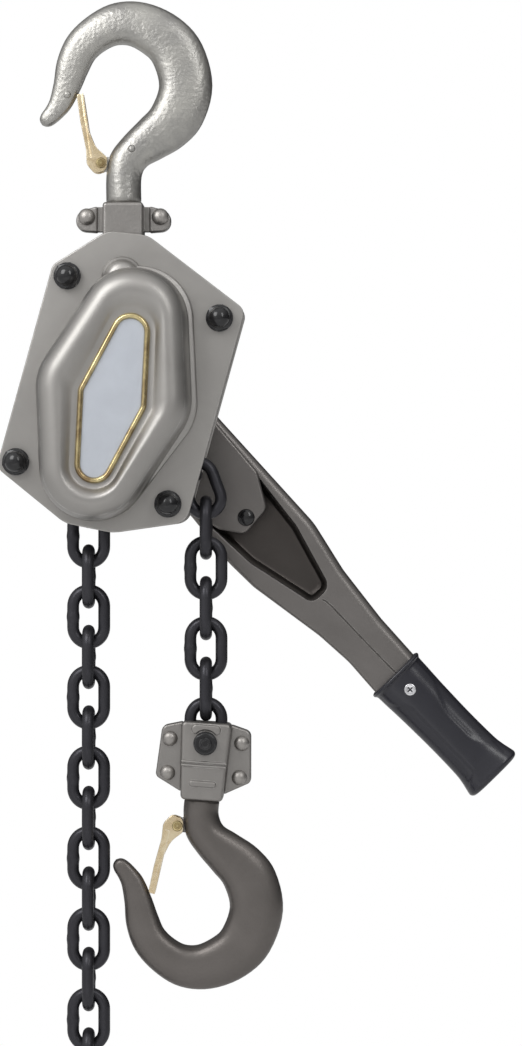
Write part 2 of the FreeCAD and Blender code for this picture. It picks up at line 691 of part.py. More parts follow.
def brake():
    """Ratchet wheel, its two lined discs, two pawls on pins in the plate, and the round cover."""
    points = []
    for t in range(RATCHET_TEETH):
        angle = t * 2 * math.pi / RATCHET_TEETH
        rise = angle + 1.9 * math.pi / RATCHET_TEETH
        root = RATCHET_R - RATCHET_TOOTH_H
        points.append(V(root * math.cos(angle), 0, root * math.sin(angle)))
        points.append(V(RATCHET_R * math.cos(rise), 0, RATCHET_R * math.sin(rise)))
    wheel = slab(Part.makePolygon(points + [points[0]]), RATCHET_START, RATCHET_START + RATCHET_T)
    keep("brake_ratchet_wheel", in_frame(wheel.cut(rod(0, 0, DRIVE_R + 2, 0, 80))))
    starts = (BRAKE_START + BRAKE_HUB_T, RATCHET_START + RATCHET_T)
    discs = [ring(0, 0, BRAKE_HUB_R - 1, DRIVE_R + 4, y0, y0 + FRICTION_T) for y0 in starts]
    keep("brake_linings", in_frame(group(discs)))

    for name, (x, z) in zip(("brake_pawl_left", "brake_pawl_right"), pawl_pivots()):
        turn = math.radians(28 if x > 0 else 208)
        tip = ((RATCHET_R + 2.4) * math.cos(turn), (RATCHET_R + 2.4) * math.sin(turn), 1.8)
        body = slab(belt([(x, z, PAWL_PIN_R + 2), tip]), RATCHET_START, RATCHET_START + RATCHET_T)
        keep(name, in_frame(body.cut(rod(x, z, PAWL_PIN_R + RUN_GAP, 0, 80))))
    pins = [rod(x, z, PAWL_PIN_R, HALF_GAP, RATCHET_START + RATCHET_T + 1.5) for x, z in pawl_pivots()]
    keep("brake_pawl_pins", in_frame(group(pins)))

    end = REAR_FACE + BRAKE_COVER_DEPTH
    cover = rod(0, 0, BRAKE_COVER_R, REAR_FACE, end)
    cover = cover.makeFillet(6.0, rim_edges(cover, end))
    inside = rod(0, 0, BRAKE_COVER_R - BRAKE_COVER_WALL, REAR_FACE, end - BRAKE_COVER_WALL)
    inside = inside.makeFillet(6.0 - BRAKE_COVER_WALL, rim_edges(inside, end - BRAKE_COVER_WALL))
    foot = rod(0, 0, BRAKE_COVER_R + 4, REAR_FACE, REAR_FACE + BRAKE_COVER_WALL)
    hole = rod(0, 0, CHANGE_FLANGE_R + 1.5, end - 10, end + 1)
    keep("brake_cover", in_frame(cover.fuse(foot).cut(inside.fuse(hole)).removeSplitter()))


def change_gear():
    """The threaded gear that the lever turns: a flange against the brake, a collar and the toothed rim."""
    flange = rod(0, 0, CHANGE_FLANGE_R, CHANGE_START, CHANGE_START + 4)
    collar = rod(0, 0, CHANGE_COLLAR_R, CHANGE_START + 4, LEVER_FRONT + LEVER_SHEET + FACE_GAP)
    module = 2 * CHANGE_GEAR_R / (CHANGE_TEETH + 1.6)
    start = LEVER_FRONT + LEVER_SHEET + FACE_GAP
    rim = slab(gear_outline(CHANGE_TEETH, module, 0, 0, 0), start, start + CHANGE_GEAR_W)
    bore = rod(0, 0, DRIVE_R, 0, 90)
    keep("change_gear", on_lever(fused([flange, collar, rim]).cut(bore)))


# Hooks, latches and yokes

HOOK_LINE = [
    (0.1, -99.5, 13.3, 13.2, 0), (3.7, -87.2, 14.5, 13.3, -17), (14, -77.5, 16.2, 13.3, -31),
    (28.3, -66.5, 18.9, 13.5, -30), (40, -53.4, 20, 14, -18.7), (46.6, -31.1, 20.1, 14.5, 0),
    (40.5, -7.2, 19.8, 14.5, 21.5), (28.3, 6.5, 18.9, 14.5, 43.4), (11, 15, 17.1, 14, 69.4),
    (-5.9, 15.4, 15.7, 13.5, 93), (-20.3, 8.5, 14.2, 12.5, 118), (-32, -2.4, 13.3, 11, 142),
    (-38.6, -16.5, 12.4, 9.5, 159), (-42.4, -30.4, 10.5, 8, 168), (-47.5, -43.7, 8.6, 6.5, 157),
    (-52.0, -50.6, 6.6, 5.4, 150), (-57.0, -56.0, 4.8, 4.4, 145), (-59.4, -58.6, 3.6, 3.4, 142),
    (-60.4, -59.8, 1.8, 1.8, 140),
]
HOOK_GAP = 0.3
SHOULDER_BLEND = 8.0
LATCH_PIVOT = (-16.8, -89.5)
LATCH_TIP = (-31.2, -39.3)
LATCH_HALF = 7.0
LATCH_EYE_R = 4.5
LATCH_HEEL_R = 6.6
LATCH_WEB = 1.9


def hook_section(x, z, half_width, half_thickness, turn):
    """A closed oval section across the hook's line, its width along the direction turn."""
    angle = math.radians(turn)
    across = V(math.cos(angle), 0, math.sin(angle))
    points = []
    for k in range(16):
        t = 2 * math.pi * k / 16
        side = across * (half_width * math.cos(t))
        points.append(V(x, 0, z) + side + AXIS_Y * (half_thickness * math.sin(t)))
    curve = Part.BSplineCurve()
    curve.interpolate(points, PeriodicFlag=True)
    return Part.Wire(curve.toShape())


def hook(shoulder):
    """A forged hook with its saddle at the origin and its shank's shoulder at z = shoulder."""
    sections = [hook_section(0, shoulder, HOOK_SHANK_R, HOOK_SHANK_R, 0)]
    sections += [hook_section(*station) for station in HOOK_LINE if station[1] > shoulder + SHOULDER_BLEND]
    body = Part.makeLoft(sections, True, False)
    neck = Part.makeCylinder(HOOK_NECK_R, YOKE_TOP + 1, V(0, 0, shoulder - YOKE_TOP - 1), AXIS_Z)
    head_z = shoulder - YOKE_TOP - HOOK_GAP - HOOK_HEAD_H - 0.4
    head = Part.makeCylinder(HOOK_HEAD_R, HOOK_HEAD_H, V(0, 0, head_z), AXIS_Z)
    x, z = LATCH_PIVOT
    lug = slab(belt([(x, z, 4.6), (-4, z - 2, 7)]), LATCH_T + 1.7 - LATCH_HALF, LATCH_HALF - LATCH_T - 1.7)
    bore = rod(x, z, LATCH_PIN_R, -20, 20)
    return body.fuse(neck).fuse(head).fuse(lug).cut(bore)


def latch():
    """A sheet latch in the hook's axes: two cheeks on the pin and a web along the mouth side."""
    x, z = LATCH_PIVOT
    tip_x, tip_z = LATCH_TIP
    outside = slab(belt([(x, z, LATCH_EYE_R), (tip_x, tip_z, 3.0), (x - 3.6, z - 0.4, LATCH_HEEL_R)]),
                   -LATCH_HALF, LATCH_HALF)
    heel = (x - 3.6 + LATCH_WEB, z - 0.4, LATCH_HEEL_R)
    between = slab(belt([(x + 30, z + 20, 10), (tip_x + LATCH_WEB, tip_z, 3.0), heel]),
                   LATCH_T - LATCH_HALF, LATCH_HALF - LATCH_T)
    room = rod(x, z, 7.5, LATCH_T - LATCH_HALF, LATCH_HALF - LATCH_T)
    return outside.cut(between).cut(room).cut(rod(x, z, LATCH_PIN_R + RUN_GAP, -20, 20))


def latch_pin():
    x, z = LATCH_PIVOT
    heads = [rod(x, z, LATCH_PIN_R + 1.2, side * (LATCH_HALF + 0.5) - 0.45, side * (LATCH_HALF + 0.5) + 0.45)
             for side in (-1, 1)]
    return fused([rod(x, z, LATCH_PIN_R, -LATCH_HALF - 0.6, LATCH_HALF + 0.6)] + heads)


def latch_spring():
    """The latch spring's two coils on the pin, one each side of the lug."""
    x, z = LATCH_PIVOT
    inner = LATCH_HALF - LATCH_T - 1.6
    spans = ((-inner - 1.4, -inner), (inner, inner + 1.4))
    return group([ring(x, z, LATCH_PIN_R + 1.5, LATCH_PIN_R, y0, y1) for y0, y1 in spans])


def in_block(shape):
    """Takes a piece drawn round the chain pin in the bottom block's upright axes to its place."""
    placed = shape.copy()
    placed.rotate(ORIGIN, AXIS_Y, BLOCK_TILT)
    placed.translate(V(DRIVE_X + LOAD_FALL_X, 0, DRIVE_Z + LOAD_PIN_Z))
    return placed


def bottom_hook_place(shape):
    """Turns a piece drawn in the hook's axes over and hangs it under the bottom yoke."""
    placed = shape.copy()
    placed.rotate(ORIGIN, AXIS_X, 180)
    placed.translate(V(0, 0, -YOKE_CHAIN_BOTTOM - HOOK_GAP - BOTTOM_SHANK_LENGTH))
    return in_block(placed)


def hooks():
    keep("top_hook", hook(TOP_SHANK_Z))
    keep("top_latch", latch())
    keep("top_latch_pin", latch_pin())
    keep("top_latch_spring", latch_spring())
    keep("bottom_hook", bottom_hook_place(hook(-BOTTOM_SHANK_LENGTH)))
    keep("bottom_latch", bottom_hook_place(latch()))
    keep("bottom_latch_pin", bottom_hook_place(latch_pin()))
    keep("bottom_latch_spring", bottom_hook_place(latch_spring()))


def dome(x, z, radius, face, height):
    """A rivet's round head on a face at y = face, standing towards negative Y when height is negative."""
    ball_r = (radius ** 2 + height ** 2) / (2 * abs(height))
    ball = Part.makeSphere(ball_r, V(x, face + height - math.copysign(ball_r, height), z))
    low, high = min(face, face + height), max(face, face + height)
    return ball.common(rod(x, z, radius + 1, low, high))


def rivets(places, half_thickness):
    """Round-headed rivets through both ears."""
    whole = []
    for x, z in places:
        shank = rod(x, z, RIVET_R, -half_thickness - 0.5, half_thickness + 0.5)
        heads = [dome(x, z, RIVET_HEAD_R, side * half_thickness, side * 4.2) for side in (-1, 1)]
        whole.append(fused([shank] + heads))
    return group(whole)


def yoke_half(box, ears, ear_t, side, hollows):
    """Half a forged yoke on one side of the middle plane: box and ears, less what the halves hold."""
    low, high = (-YOKE_DEPTH / 2, 0) if side < 0 else (0, YOKE_DEPTH / 2)
    body = slab(box, low, high)
    body = body.makeFillet(2.5, rim_edges(body, side * YOKE_DEPTH / 2))
    ear = slab(ears, min(0, side * ear_t), max(0, side * ear_t))
    return body.fuse(ear).removeSplitter().cut(group(hollows))


TOP_YOKE_PIN = (DRIVE_X + TOP_PIN_X * TILT_COS + TOP_PIN_Z * TILT_SIN,
                DRIVE_Z + TOP_PIN_Z * TILT_COS - TOP_PIN_X * TILT_SIN)


def shank_room(x, top):
    """The room that a hook's neck and head need in a yoke whose top face is at z = top."""
    neck = Part.makeCylinder(HOOK_NECK_R + RUN_GAP, YOKE_TOP + 2, V(x, 0, top - YOKE_TOP - 1), AXIS_Z)
    height = HOOK_HEAD_H + 2
    head = Part.makeCylinder(HOOK_HEAD_R + 0.2, height, V(x, 0, top - YOKE_TOP - height), AXIS_Z)
    return [neck, head]


def top_yoke():
    top = TOP_SHANK_Z - HOOK_GAP
    x, z = TOP_YOKE_PIN
    w = YOKE_HALF_WIDTH
    places = [(-27.6, -130.0), (27.6, -130.0)]
    ears = rounded([(-EAR_REACH, top - 3.5, 8.5), (-EAR_REACH, top - 20, 8.5), (-14, top - 23.5, 2),
                    (14, top - 23.5, 2), (EAR_REACH, top - 20, 8.5), (EAR_REACH, top - 3.5, 8.5),
                    (14, top - 1.5, 2), (-14, top - 1.5, 2)])
    box = rounded([(x - w, top, 4), (x - w, z - w, w - 0.5), (x + w, z - w, w - 0.5), (x + w, top, 4)])
    hollows = shank_room(0, top) + [rod(x, z, TOP_PIN_R + RUN_GAP, -30, 30)]
    hollows += [rod(px, pz, RIVET_R, -30, 30) for px, pz in places]
    keep("top_yoke_front", yoke_half(box, ears, EAR_T, -1, hollows))
    keep("top_yoke_rear", yoke_half(box, ears, EAR_T, 1, hollows))
    keep("top_yoke_rivets", rivets(places, EAR_T))
    end = FRONT_FACE - BLISTER_H + COVER_WALL + 1
    keep("top_pin", rod(x, z, TOP_PIN_R, end, REAR_FACE))


def bottom_block():
    """The lower yoke round the last link, its pin, nut and rivets, in the block's axes round the pin."""
    top, bottom = YOKE_CHAIN_TOP, -YOKE_CHAIN_BOTTOM
    places = [(x, top - drop) for drop in (14.2, 40.0) for x in (-27.0, 27.0)]
    box = rounded([(-19, top, 4), (-15.6, bottom, 4), (15.6, bottom, 4), (19, top, 4)])
    ears = rounded([(-33, top - 5, 6), (-36, top - 43, 5), (-14, top - 54, 3), (14, top - 54, 3),
                    (36, top - 43, 5), (33, top - 5, 6), (14, top - 0.8, 3), (-14, top - 0.8, 3)])
    slot = slab(belt([(0, 0.5, 17.4), (0, 60, 18.2)]), -WIRE / 2 - 0.5, WIRE / 2 + 0.5)
    over = [shape.mirror(ORIGIN, AXIS_Z) for shape in shank_room(0, YOKE_CHAIN_BOTTOM)]
    hollows = over + [slot, rod(0, 0, CHAIN_PIN_R, -30, 30)]
    hollows += [rod(px, pz, RIVET_R, -30, 30) for px, pz in places]
    front = yoke_half(box, ears, EAR_BLOCK_T, -1, hollows)
    face = -YOKE_DEPTH / 2
    ribs = [slab(rounded(points), face - 1.2, face + 0.5) for points in (
        [(-16.4, top - 31, 1), (-16.2, top - 34.2, 1), (16.2, top - 34.2, 1), (16.4, top - 31, 1)],
        [(-10, top - 44.2, 2.4), (-10, top - 49.4, 2.4), (10, top - 49.4, 2.4), (10, top - 44.2, 2.4)],
        [(-10.4, top - 1.6, 3.6), (-10.4, top - 9.6, 3.6), (10.4, top - 9.6, 3.6), (10.4, top - 1.6, 3.6)],
    )]
    ribs = [rib.cut(rod(0, 0, 9.6, -30, 30)) for rib in ribs]
    front = fused([front] + ribs)
    keep("bottom_yoke_front", in_block(front))
    keep("bottom_yoke_rear", in_block(yoke_half(box, ears, EAR_BLOCK_T, 1, hollows)))
    keep("bottom_yoke_rivets", in_block(rivets(places, EAR_BLOCK_T)))
    pin = rod(0, 0, CHAIN_PIN_R, face - 8.5, -face + 0.5)
    keep("chain_pin", in_block(pin.fuse(rod(0, 0, CHAIN_PIN_R + 3, -face, -face + 4)).removeSplitter()))
    nut = slab(hexagon_outline(0, 0, 8.6), face - 6.2, face)
    bevel = Part.makeCone(7.4, 9.8, 2.4, V(0, face - 6.2, 0), AXIS_Y)
    nut = nut.common(bevel.fuse(rod(0, 0, 9.8, face - 3.8, face)))
    keep("chain_pin_nut", in_block(nut.cut(rod(0, 0, CHAIN_PIN_R, face - 10, 0))))


# Lever

LEVER_ARM = [
    (6, 46.4, 1), (68, 43, 30), (172.8, 38.9, 60), (214.4, 29.7, 60), (261, 24.3, 60), (298, 22.6, 1.5),
    (298, -18.4, 1.5), (267.3, -16.6, 60), (237, -18.6, 60), (175.2, -28.4, 40), (149.6, -29, 40),
    (101.7, -24.3, 30), (62, -31, 20), (14, -44.6, 1),
]
RECESS = [
    (30, 36, 2), (112, 33.5, 20), (165, 27.5, 30), (216, 13, 9), (215, -4.6, 7), (160, -17, 25),
    (100, -19.5, 20), (30, -30, 2),
]
PAD = [(0, 0, LEVER_HUB_R - 3), (122, -9, 8), (133.6, -1, 8), (132, 16.4, 8), (112, 27.8, 8)]
LEVER_BOLTS = [(133.4, 4.9), (-38.0, 0.0)]
TANG_END = 345.0
GRIP_Y = (LEVER_FRONT + LEVER_SHEET + LEVER_REAR) / 2


def lever():
    """Front plate, pressed shell, bolts, selector and the tang that the grip sits on."""
    face = LEVER_FRONT + LEVER_SHEET
    holes = [rod(a, b, BOLT_R, LEVER_FRONT - 5, LEVER_REAR + 5) for a, b in LEVER_BOLTS]
    collar = rod(0, 0, CHANGE_COLLAR_R + RUN_GAP, LEVER_FRONT - 1, face + 1)
    plate = slab(belt(PAD), LEVER_FRONT, face)
    plate = plate.makeFillet(1.2, rim_edges(plate, LEVER_FRONT))
    keep("lever_front_plate", on_lever(plate.cut(group(holes + [collar]))))

    hub = rod(0, 0, LEVER_HUB_R, face, LEVER_REAR)
    body = slab(rounded(LEVER_ARM), face, LEVER_REAR).fuse(hub).removeSplitter()
    body = body.makeFillet(LEVER_ROUND, rim_edges(body, LEVER_REAR))
    body = body.makeFillet(LEVER_ROUND, rim_edges(body, face))
    wall = LEVER_SHEET
    hub_room = rod(0, 0, LEVER_HUB_R - wall, face + wall, LEVER_REAR - wall)
    arm_face = Part.Face(rounded(LEVER_ARM)).makeOffset2D(-wall)
    arm_room = slab(arm_face.OuterWire, face + wall, LEVER_REAR - wall)
    opening = slab(rounded(RECESS), face - 1, face + wall + 1)
    opening = opening.fuse(rod(0, 0, LEVER_HUB_R - 6, face - 1, face + wall + 1))
    shaft_hole = rod(0, 0, DRIVE_R + RUN_GAP, face, LEVER_REAR + 1)
    selector_hole = rod(SELECTOR_A, 0, SELECTOR_R + RUN_GAP, face, LEVER_REAR + 1)
    tang = Part.makeBox(TANG_END - 292, 15, 24, V(292, GRIP_Y - 7.5, -10))
    posts = [ring(a, b, BOLT_R + 3, BOLT_R, face, LEVER_REAR - wall) for a, b in LEVER_BOLTS]
    shell = body.cut(hub_room.fuse(arm_room)).cut(opening).fuse(tang).fuse(group(posts)).removeSplitter()
    screw = rod(GRIP_SCREW[0], GRIP_SCREW[1], 2.5, GRIP_Y - 9, GRIP_Y + 4)
    keep("lever_shell", on_lever(shell.cut(group(holes + [shaft_hole, selector_hole, screw]))))

    bolts = []
    for a, b in LEVER_BOLTS:
        shank = rod(a, b, BOLT_R, LEVER_FRONT - 0.5, LEVER_REAR + 0.5)
        bolts.append(fused([shank, dome(a, b, 6.2, LEVER_FRONT, -2.8), dome(a, b, 6.2, LEVER_REAR, 2.8)]))
    keep("lever_bolts", on_lever(group(bolts)))

    pawl_y = (face + wall + 1, LEVER_REAR - wall - 1)
    pawl = slab(belt([(SELECTOR_A, 0, 8), (29.5, 13.5, 2)]), *pawl_y)
    pawl = pawl.fuse(slab(belt([(SELECTOR_A, 0, 8), (29.5, -13.5, 2)]), *pawl_y)).removeSplitter()
    keep("selector_pawl", on_lever(pawl.cut(rod(SELECTOR_A, 0, SELECTOR_R, 0, 90))))
    knob = slab(belt([(SELECTOR_A, 0, 10), (SELECTOR_A + 30, 0, 7)]), LEVER_REAR + FACE_GAP, LEVER_REAR + 9)
    knob = knob.makeFillet(2.0, rim_edges(knob, LEVER_REAR + 9))
    spindle = rod(SELECTOR_A, 0, SELECTOR_R, pawl_y[0], LEVER_REAR + 1)
    keep("selector_knob", on_lever(knob.fuse(spindle).removeSplitter()))


GRIP_SCREW = (314.7, 2.2)
GRIP_LINE = [
    (298, 23.4, 19.5), (301.4, 23.6, 19.7), (302.8, 22.0, 17.8), (312, 21.6, 17.4), (330, 20.8, 16.6),
    (360, 20.2, 16.0), (385, 20.6, 16.2), (398, 22.4, 17.4), (404.5, 23.8, 18.4), (407.2, 22.4, 17.0),
    (408, 19.8, 14.6),
]


def grip_section(a, half_b, half_y):
    """A rounded-square section of the grip at a along the lever."""
    points = []
    for k in range(24):
        t = 2 * math.pi * k / 24
        c, s = math.cos(t), math.sin(t)
        y = GRIP_Y + math.copysign(half_y * abs(s) ** 0.7, s)
        points.append(V(a, y, 2.0 + math.copysign(half_b * abs(c) ** 0.7, c)))
    curve = Part.BSplineCurve()
    curve.interpolate(points, PeriodicFlag=True)
    return Part.Wire(curve.toShape())


def grip():
    body = Part.makeLoft([grip_section(*station) for station in GRIP_LINE], True, False)
    socket = Part.makeBox(TANG_END - 290, 15.1, 24.1, V(290, GRIP_Y - 7.55, -10.05))
    front = GRIP_Y - 17.3
    screw_hole = rod(*GRIP_SCREW, 2.5, front - 5, GRIP_Y)
    sink = rod(*GRIP_SCREW, 4.7, front - 5, front + 1.6)
    keep("lever_grip", on_lever(body.cut(group([socket, screw_hole, sink]))))
    head = rod(*GRIP_SCREW, 4.6, front - 0.6, front + 1.6)
    head = head.makeFillet(0.8, rim_edges(head, front - 0.6))
    a, b = GRIP_SCREW
    cross = [Part.makeBox(w, 1.2, h, V(a - w / 2, front - 1, b - h / 2)) for w, h in ((5, 1.1), (1.1, 5))]
    screw = head.fuse(rod(*GRIP_SCREW, 2.5, front + 1, GRIP_Y + 4)).cut(group(cross)).removeSplitter()
    keep("grip_screw", on_lever(screw))


def hand_wheel():
    """The lobed wheel behind the lever that turns the drive shaft by hand, and the nut on the shaft."""
    y0, y1 = LEVER_REAR + 3.5, LEVER_REAR + HAND_WHEEL_W
    wheel = rod(0, 0, HAND_WHEEL_R, y0, y1)
    for k in range(HAND_WHEEL_LOBES):
        angle = (k + 0.5) * 2 * math.pi / HAND_WHEEL_LOBES
        reach = HAND_WHEEL_R + 5
        wheel = wheel.cut(rod(reach * math.cos(angle), reach * math.sin(angle), 10, 0, 99))
    wheel = wheel.makeFillet(1.5, rim_edges(wheel, y1))
    keep("hand_wheel", in_frame(wheel.cut(rod(0, 0, DRIVE_R, 0, 99))))
    nut = slab(hexagon_outline(0, 0, 10.4), y1, y1 + 8)
    keep("shaft_nut", in_frame(nut.cut(rod(0, 0, DRIVE_R - 3, 0, 110))))


def main():
    chain()
    end_ring()
    side_plates()
    stay_bolts()
    domed_nuts()
    guides()
    gears()
    drive_shaft()
    load_sheave()
    bearing_plate()
    gear_cover()
    brake()
    change_gear()
    hooks()
    top_yoke()
    bottom_block()
    lever()
    grip()
    hand_wheel()
    os.makedirs("parts", exist_ok=True)
    for name, shape in NODES.items():
        shape.exportStep(os.path.join("parts", name + ".step"))
        solids = shape.Solids
        state = "valid" if shape.isValid() else "NOT VALID"
        print(name, len(solids), "solids", round(sum(s.Volume for s in solids) / 1000, 2), "cm3", state)
    print(len(NODES), "nodes")


main()
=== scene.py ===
# %% [markdown]
# A lever chain hoist, piece by piece.
# A lever hoist (a "come along") hangs from its top hook, and its lever winds the load chain a tooth at a
# time. The CAD frame gives every solid its true place, and this file gives each piece its surface and its
# finish. Everything is in metres in the frame of the CAD model: +Z up, the gear side facing -Y.

# %% Load the frame
import math

import bmesh
import bpy
from mathutils import Euler, Matrix, Vector


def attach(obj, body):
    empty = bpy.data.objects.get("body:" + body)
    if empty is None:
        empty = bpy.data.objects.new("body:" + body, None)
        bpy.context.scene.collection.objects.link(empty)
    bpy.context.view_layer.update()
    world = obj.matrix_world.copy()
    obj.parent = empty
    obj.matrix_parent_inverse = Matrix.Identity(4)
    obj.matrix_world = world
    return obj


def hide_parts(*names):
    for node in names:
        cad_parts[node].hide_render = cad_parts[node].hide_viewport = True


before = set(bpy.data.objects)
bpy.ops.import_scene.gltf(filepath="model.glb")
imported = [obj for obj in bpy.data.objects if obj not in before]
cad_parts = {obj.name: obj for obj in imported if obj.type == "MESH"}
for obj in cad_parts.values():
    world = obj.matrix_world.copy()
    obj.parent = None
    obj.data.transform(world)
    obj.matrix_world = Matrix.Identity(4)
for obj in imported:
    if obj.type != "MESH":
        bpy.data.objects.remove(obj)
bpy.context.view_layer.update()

# %% [markdown]
# Drawings of machine parts are in millimetres and in the part's own upright axes. One matrix for each
# carrier turns such a drawing into metres at its place, so each number below can be checked with a ruler on
# the real hoist. The frame leans by 15.5 degrees, the lever by 45.5 and the lower block by 4.

# %% Places of the carriers
MM = 0.001
FRAME_LEAN, LEVER_LEAN, BLOCK_LEAN = 15.5, 45.5, 4
DRIVE = (-6.0, -264.0)
CHAIN_PIN = (61.8, -524.81)
HOOK_DROP = 153.3


def place(x, z, turn=0.0):
    """Millimetres in a carrier's own axes to metres in the hoist's: a turn about Y, a move, a scale."""
    return Matrix.Scale(MM, 4) @ Matrix.Translation((x, 0, z)) @ Matrix.Rotation(math.radians(turn), 4, "Y")


UPRIGHT = place(0, 0)
IN_FRAME = place(*DRIVE, FRAME_LEAN)
ON_LEVER = place(*DRIVE, LEVER_LEAN)
IN_BLOCK = place(*CHAIN_PIN, BLOCK_LEAN)
HOOK_BELOW = IN_BLOCK @ Matrix.Translation((0, 0, -HOOK_DROP)) @ Matrix.Rotation(math.pi, 4, "X")
TO_FRONT, TO_BACK = (Matrix.Rotation(math.radians(turn), 4, "X") for turn in (90, -90))
print("drive axis at", tuple(round(v, 4) for v in IN_FRAME.translation))

# %% [markdown]
# Most parts of a hoist are cut or pressed from plate, so their shapes are outlines with a thickness.
# Two kinds of outline cover them all: a belt round circles, and a polygon with rounded corners. Both take the
# same number of points for each arc, so an inner and an outer outline match point for point.

# %% Outlines


def arc(x, z, radius, start, sweep, steps):
    """Points on an arc, both ends included."""
    turns = [start + sweep * k / steps for k in range(steps + 1)]
    return [(x + radius * math.cos(turn), z + radius * math.sin(turn)) for turn in turns]


def circle(x, z, radius, steps=32):
    return arc(x, z, radius, 0, math.tau * (1 - 1 / steps), steps - 1)


def belt(circles, grow=0.0, steps=12, run=4):
    """A belt round circles (x, z, radius), anticlockwise, with run points on each straight."""
    turns = []
    for i, (x0, z0, r0) in enumerate(circles):
        x1, z1, r1 = circles[(i + 1) % len(circles)]
        turns.append(math.atan2(z1 - z0, x1 - x0) - math.acos((r0 - r1) / math.hypot(x1 - x0, z1 - z0)))
    arcs = [arc(x, z, r + grow, turns[i - 1], (turns[i] - turns[i - 1]) % math.tau, steps)
            for i, (x, z, r) in enumerate(circles)]
    points = []
    for i, bend in enumerate(arcs):
        (x0, z0), (x1, z1) = bend[-1], arcs[(i + 1) % len(arcs)][0]
        points += bend
        points += [(x0 + (x1 - x0) * k / run, z0 + (z1 - z0) * k / run) for k in range(1, run)]
    return points


def rounded(corners, steps=5):
    """A closed outline through corners (x, z, radius), each corner rounded."""
    points = []
    for i, (x, z, radius) in enumerate(corners):
        here = Vector((x, z))
        before = (Vector(corners[i - 1][:2]) - here).normalized()
        after = (Vector(corners[(i + 1) % len(corners)][:2]) - here).normalized()
        half = before.angle(after) / 2
        centre = here + (before + after).normalized() * (radius / math.sin(half))
        first = here + before * (radius / math.tan(half)) - centre
        last = here + after * (radius / math.tan(half)) - centre
        start = math.atan2(first.y, first.x)
        sweep = (math.atan2(last.y, last.x) - start + math.pi) % math.tau - math.pi
        points += arc(centre.x, centre.y, radius, start, sweep, steps)
    return points


def grown(outline, by):
    """The outline moved outwards by a small step, along each corner's own direction."""
    area = sum(a[0] * b[1] - b[0] * a[1] for a, b in zip(outline, outline[1:] + outline[:1]))
    out = []
    for i, here in enumerate(outline):
        a, c = Vector(outline[i - 1]), Vector(outline[(i + 1) % len(outline)])
        here = Vector(here)
        n0 = Vector(((here - a).y, -(here - a).x)).normalized()
        n1 = Vector(((c - here).y, -(c - here).x)).normalized()
        middle = (n0 + n1).normalized()
        out.append(tuple(here + middle * (by * math.copysign(1, area) / max(0.4, middle.dot(n1)))))
    return out


print("belt of", len(belt([(0, 0, 2), (9, 0, 1)])), "points")

# %% [markdown]
# A solid could be made with a box and a Bevel modifier, but a bevel on a long outline with holes often
# breaks. Here the rounding is part of the solid: rings of the outline are skinned from the front face to the
# back one, and the two flat faces are filled round their holes. Every edge then catches a thin line of light,
# as on real stamped plate.

# %% Solids from outlines and rings


def around(steps):
    """Cosine and sine of even turns round a circle."""
    return [(math.cos(math.tau * k / steps), math.sin(math.tau * k / steps)) for k in range(steps)]


def ring_at(radius, height, steps):
    return [(radius * c, radius * s, height) for c, s in around(steps)]


def quarter(steps):
    return [math.pi / 2 * k / steps for k in range(steps + 1)]


def skin(bm, rings):
    """Quads between rings of points, and the rows of vertices."""
    rows = [[bm.verts.new(p) for p in ring] for ring in rings]
    count = len(rows[0])
    for low, high in zip(rows, rows[1:]):
        for k in range(count):
            bm.faces.new((low[k], low[(k + 1) % count], high[(k + 1) % count], high[k]))
    return rows


def capped(bm, rings):
    rows = skin(bm, rings)
    for row in (rows[0], rows[-1]):
        bm.faces.new(row)


def fan(bm, row, point):
    """Triangles from a row of vertices to one point."""
    pole = bm.verts.new(point)
    for k in range(len(row)):
        bm.faces.new((row[k], row[(k + 1) % len(row)], pole))


def fill(bm, loops):
    """A flat face between an outer loop of vertices and the loops of its holes."""
    edges = [bm.edges.get((loop[k - 1], loop[k])) for loop in loops for k in range(len(loop))]
    bmesh.ops.triangle_fill(bm, edges=edges, use_beauty=True, normal=(0, 1, 0))


def slab(bm, outline, y0, y1, round0=0.0, round1=0.0, holes=(), steps=3):
    """A plate from y0 to y1 with edges rounded at either face, and holes through it."""
    ends = [[], []]
    for n, loop in enumerate([outline, *holes]):
        side = -1 if n == 0 else 1
        rings = []
        for face, radius, way in ((y0, round0, 1), (y1, round1, -1)):
            for k in range(steps + 1 if radius else 1):
                turn = k / steps * math.pi / 2
                inset, depth = (math.sin(turn), math.cos(turn))[::way]
                ring = grown(loop, side * radius * (1 - inset))
                rings.append([(x, face + way * radius * (1 - depth), z) for x, z in ring])
        rows = skin(bm, rings)
        ends[0].append(rows[0])
        ends[1].append(rows[-1])
    for loops in ends:
        fill(bm, loops)


def revolve(bm, profile, steps=48):
    """A solid of revolution about Z through (radius, height) points that start and end on the axis."""
    rows = skin(bm, [ring_at(radius, height, steps) for radius, height in profile[1:-1]])
    for row, (_, height) in ((rows[0], profile[0]), (rows[-1], profile[-1])):
        fan(bm, row, (0, 0, height))


def solid(build, *drawing, at=Matrix()):
    """One such solid by itself, at its place on its carrier."""
    bm = bmesh.new()
    build(bm, *drawing)
    bm.transform(at)
    return bm


print("plate of", len(solid(slab, circle(0, 0, 9), 0, 2, 0.5, 0.5, [circle(0, 0, 4)]).faces), "faces")

# %% [markdown]
# A finished piece sits at the origin with its place in its mesh, smooth where it is round and sharp where it
# is not. Weighted normals keep large flat faces flat while their rounded edges shade softly. A finish has
# the name of its slot, apart from the yellow one of the beads.

# %% Finished pieces
MERGE = 0.0005
FINISHES, TRIANGLES = {}, {}


def as_mesh(name, bm):
    mesh = bpy.data.meshes.new(name)
    bm.to_mesh(mesh)
    bm.free()
    return mesh


def in_scene(name, data):
    obj = bpy.data.objects.new(name, data)
    bpy.context.scene.collection.objects.link(obj)
    return obj


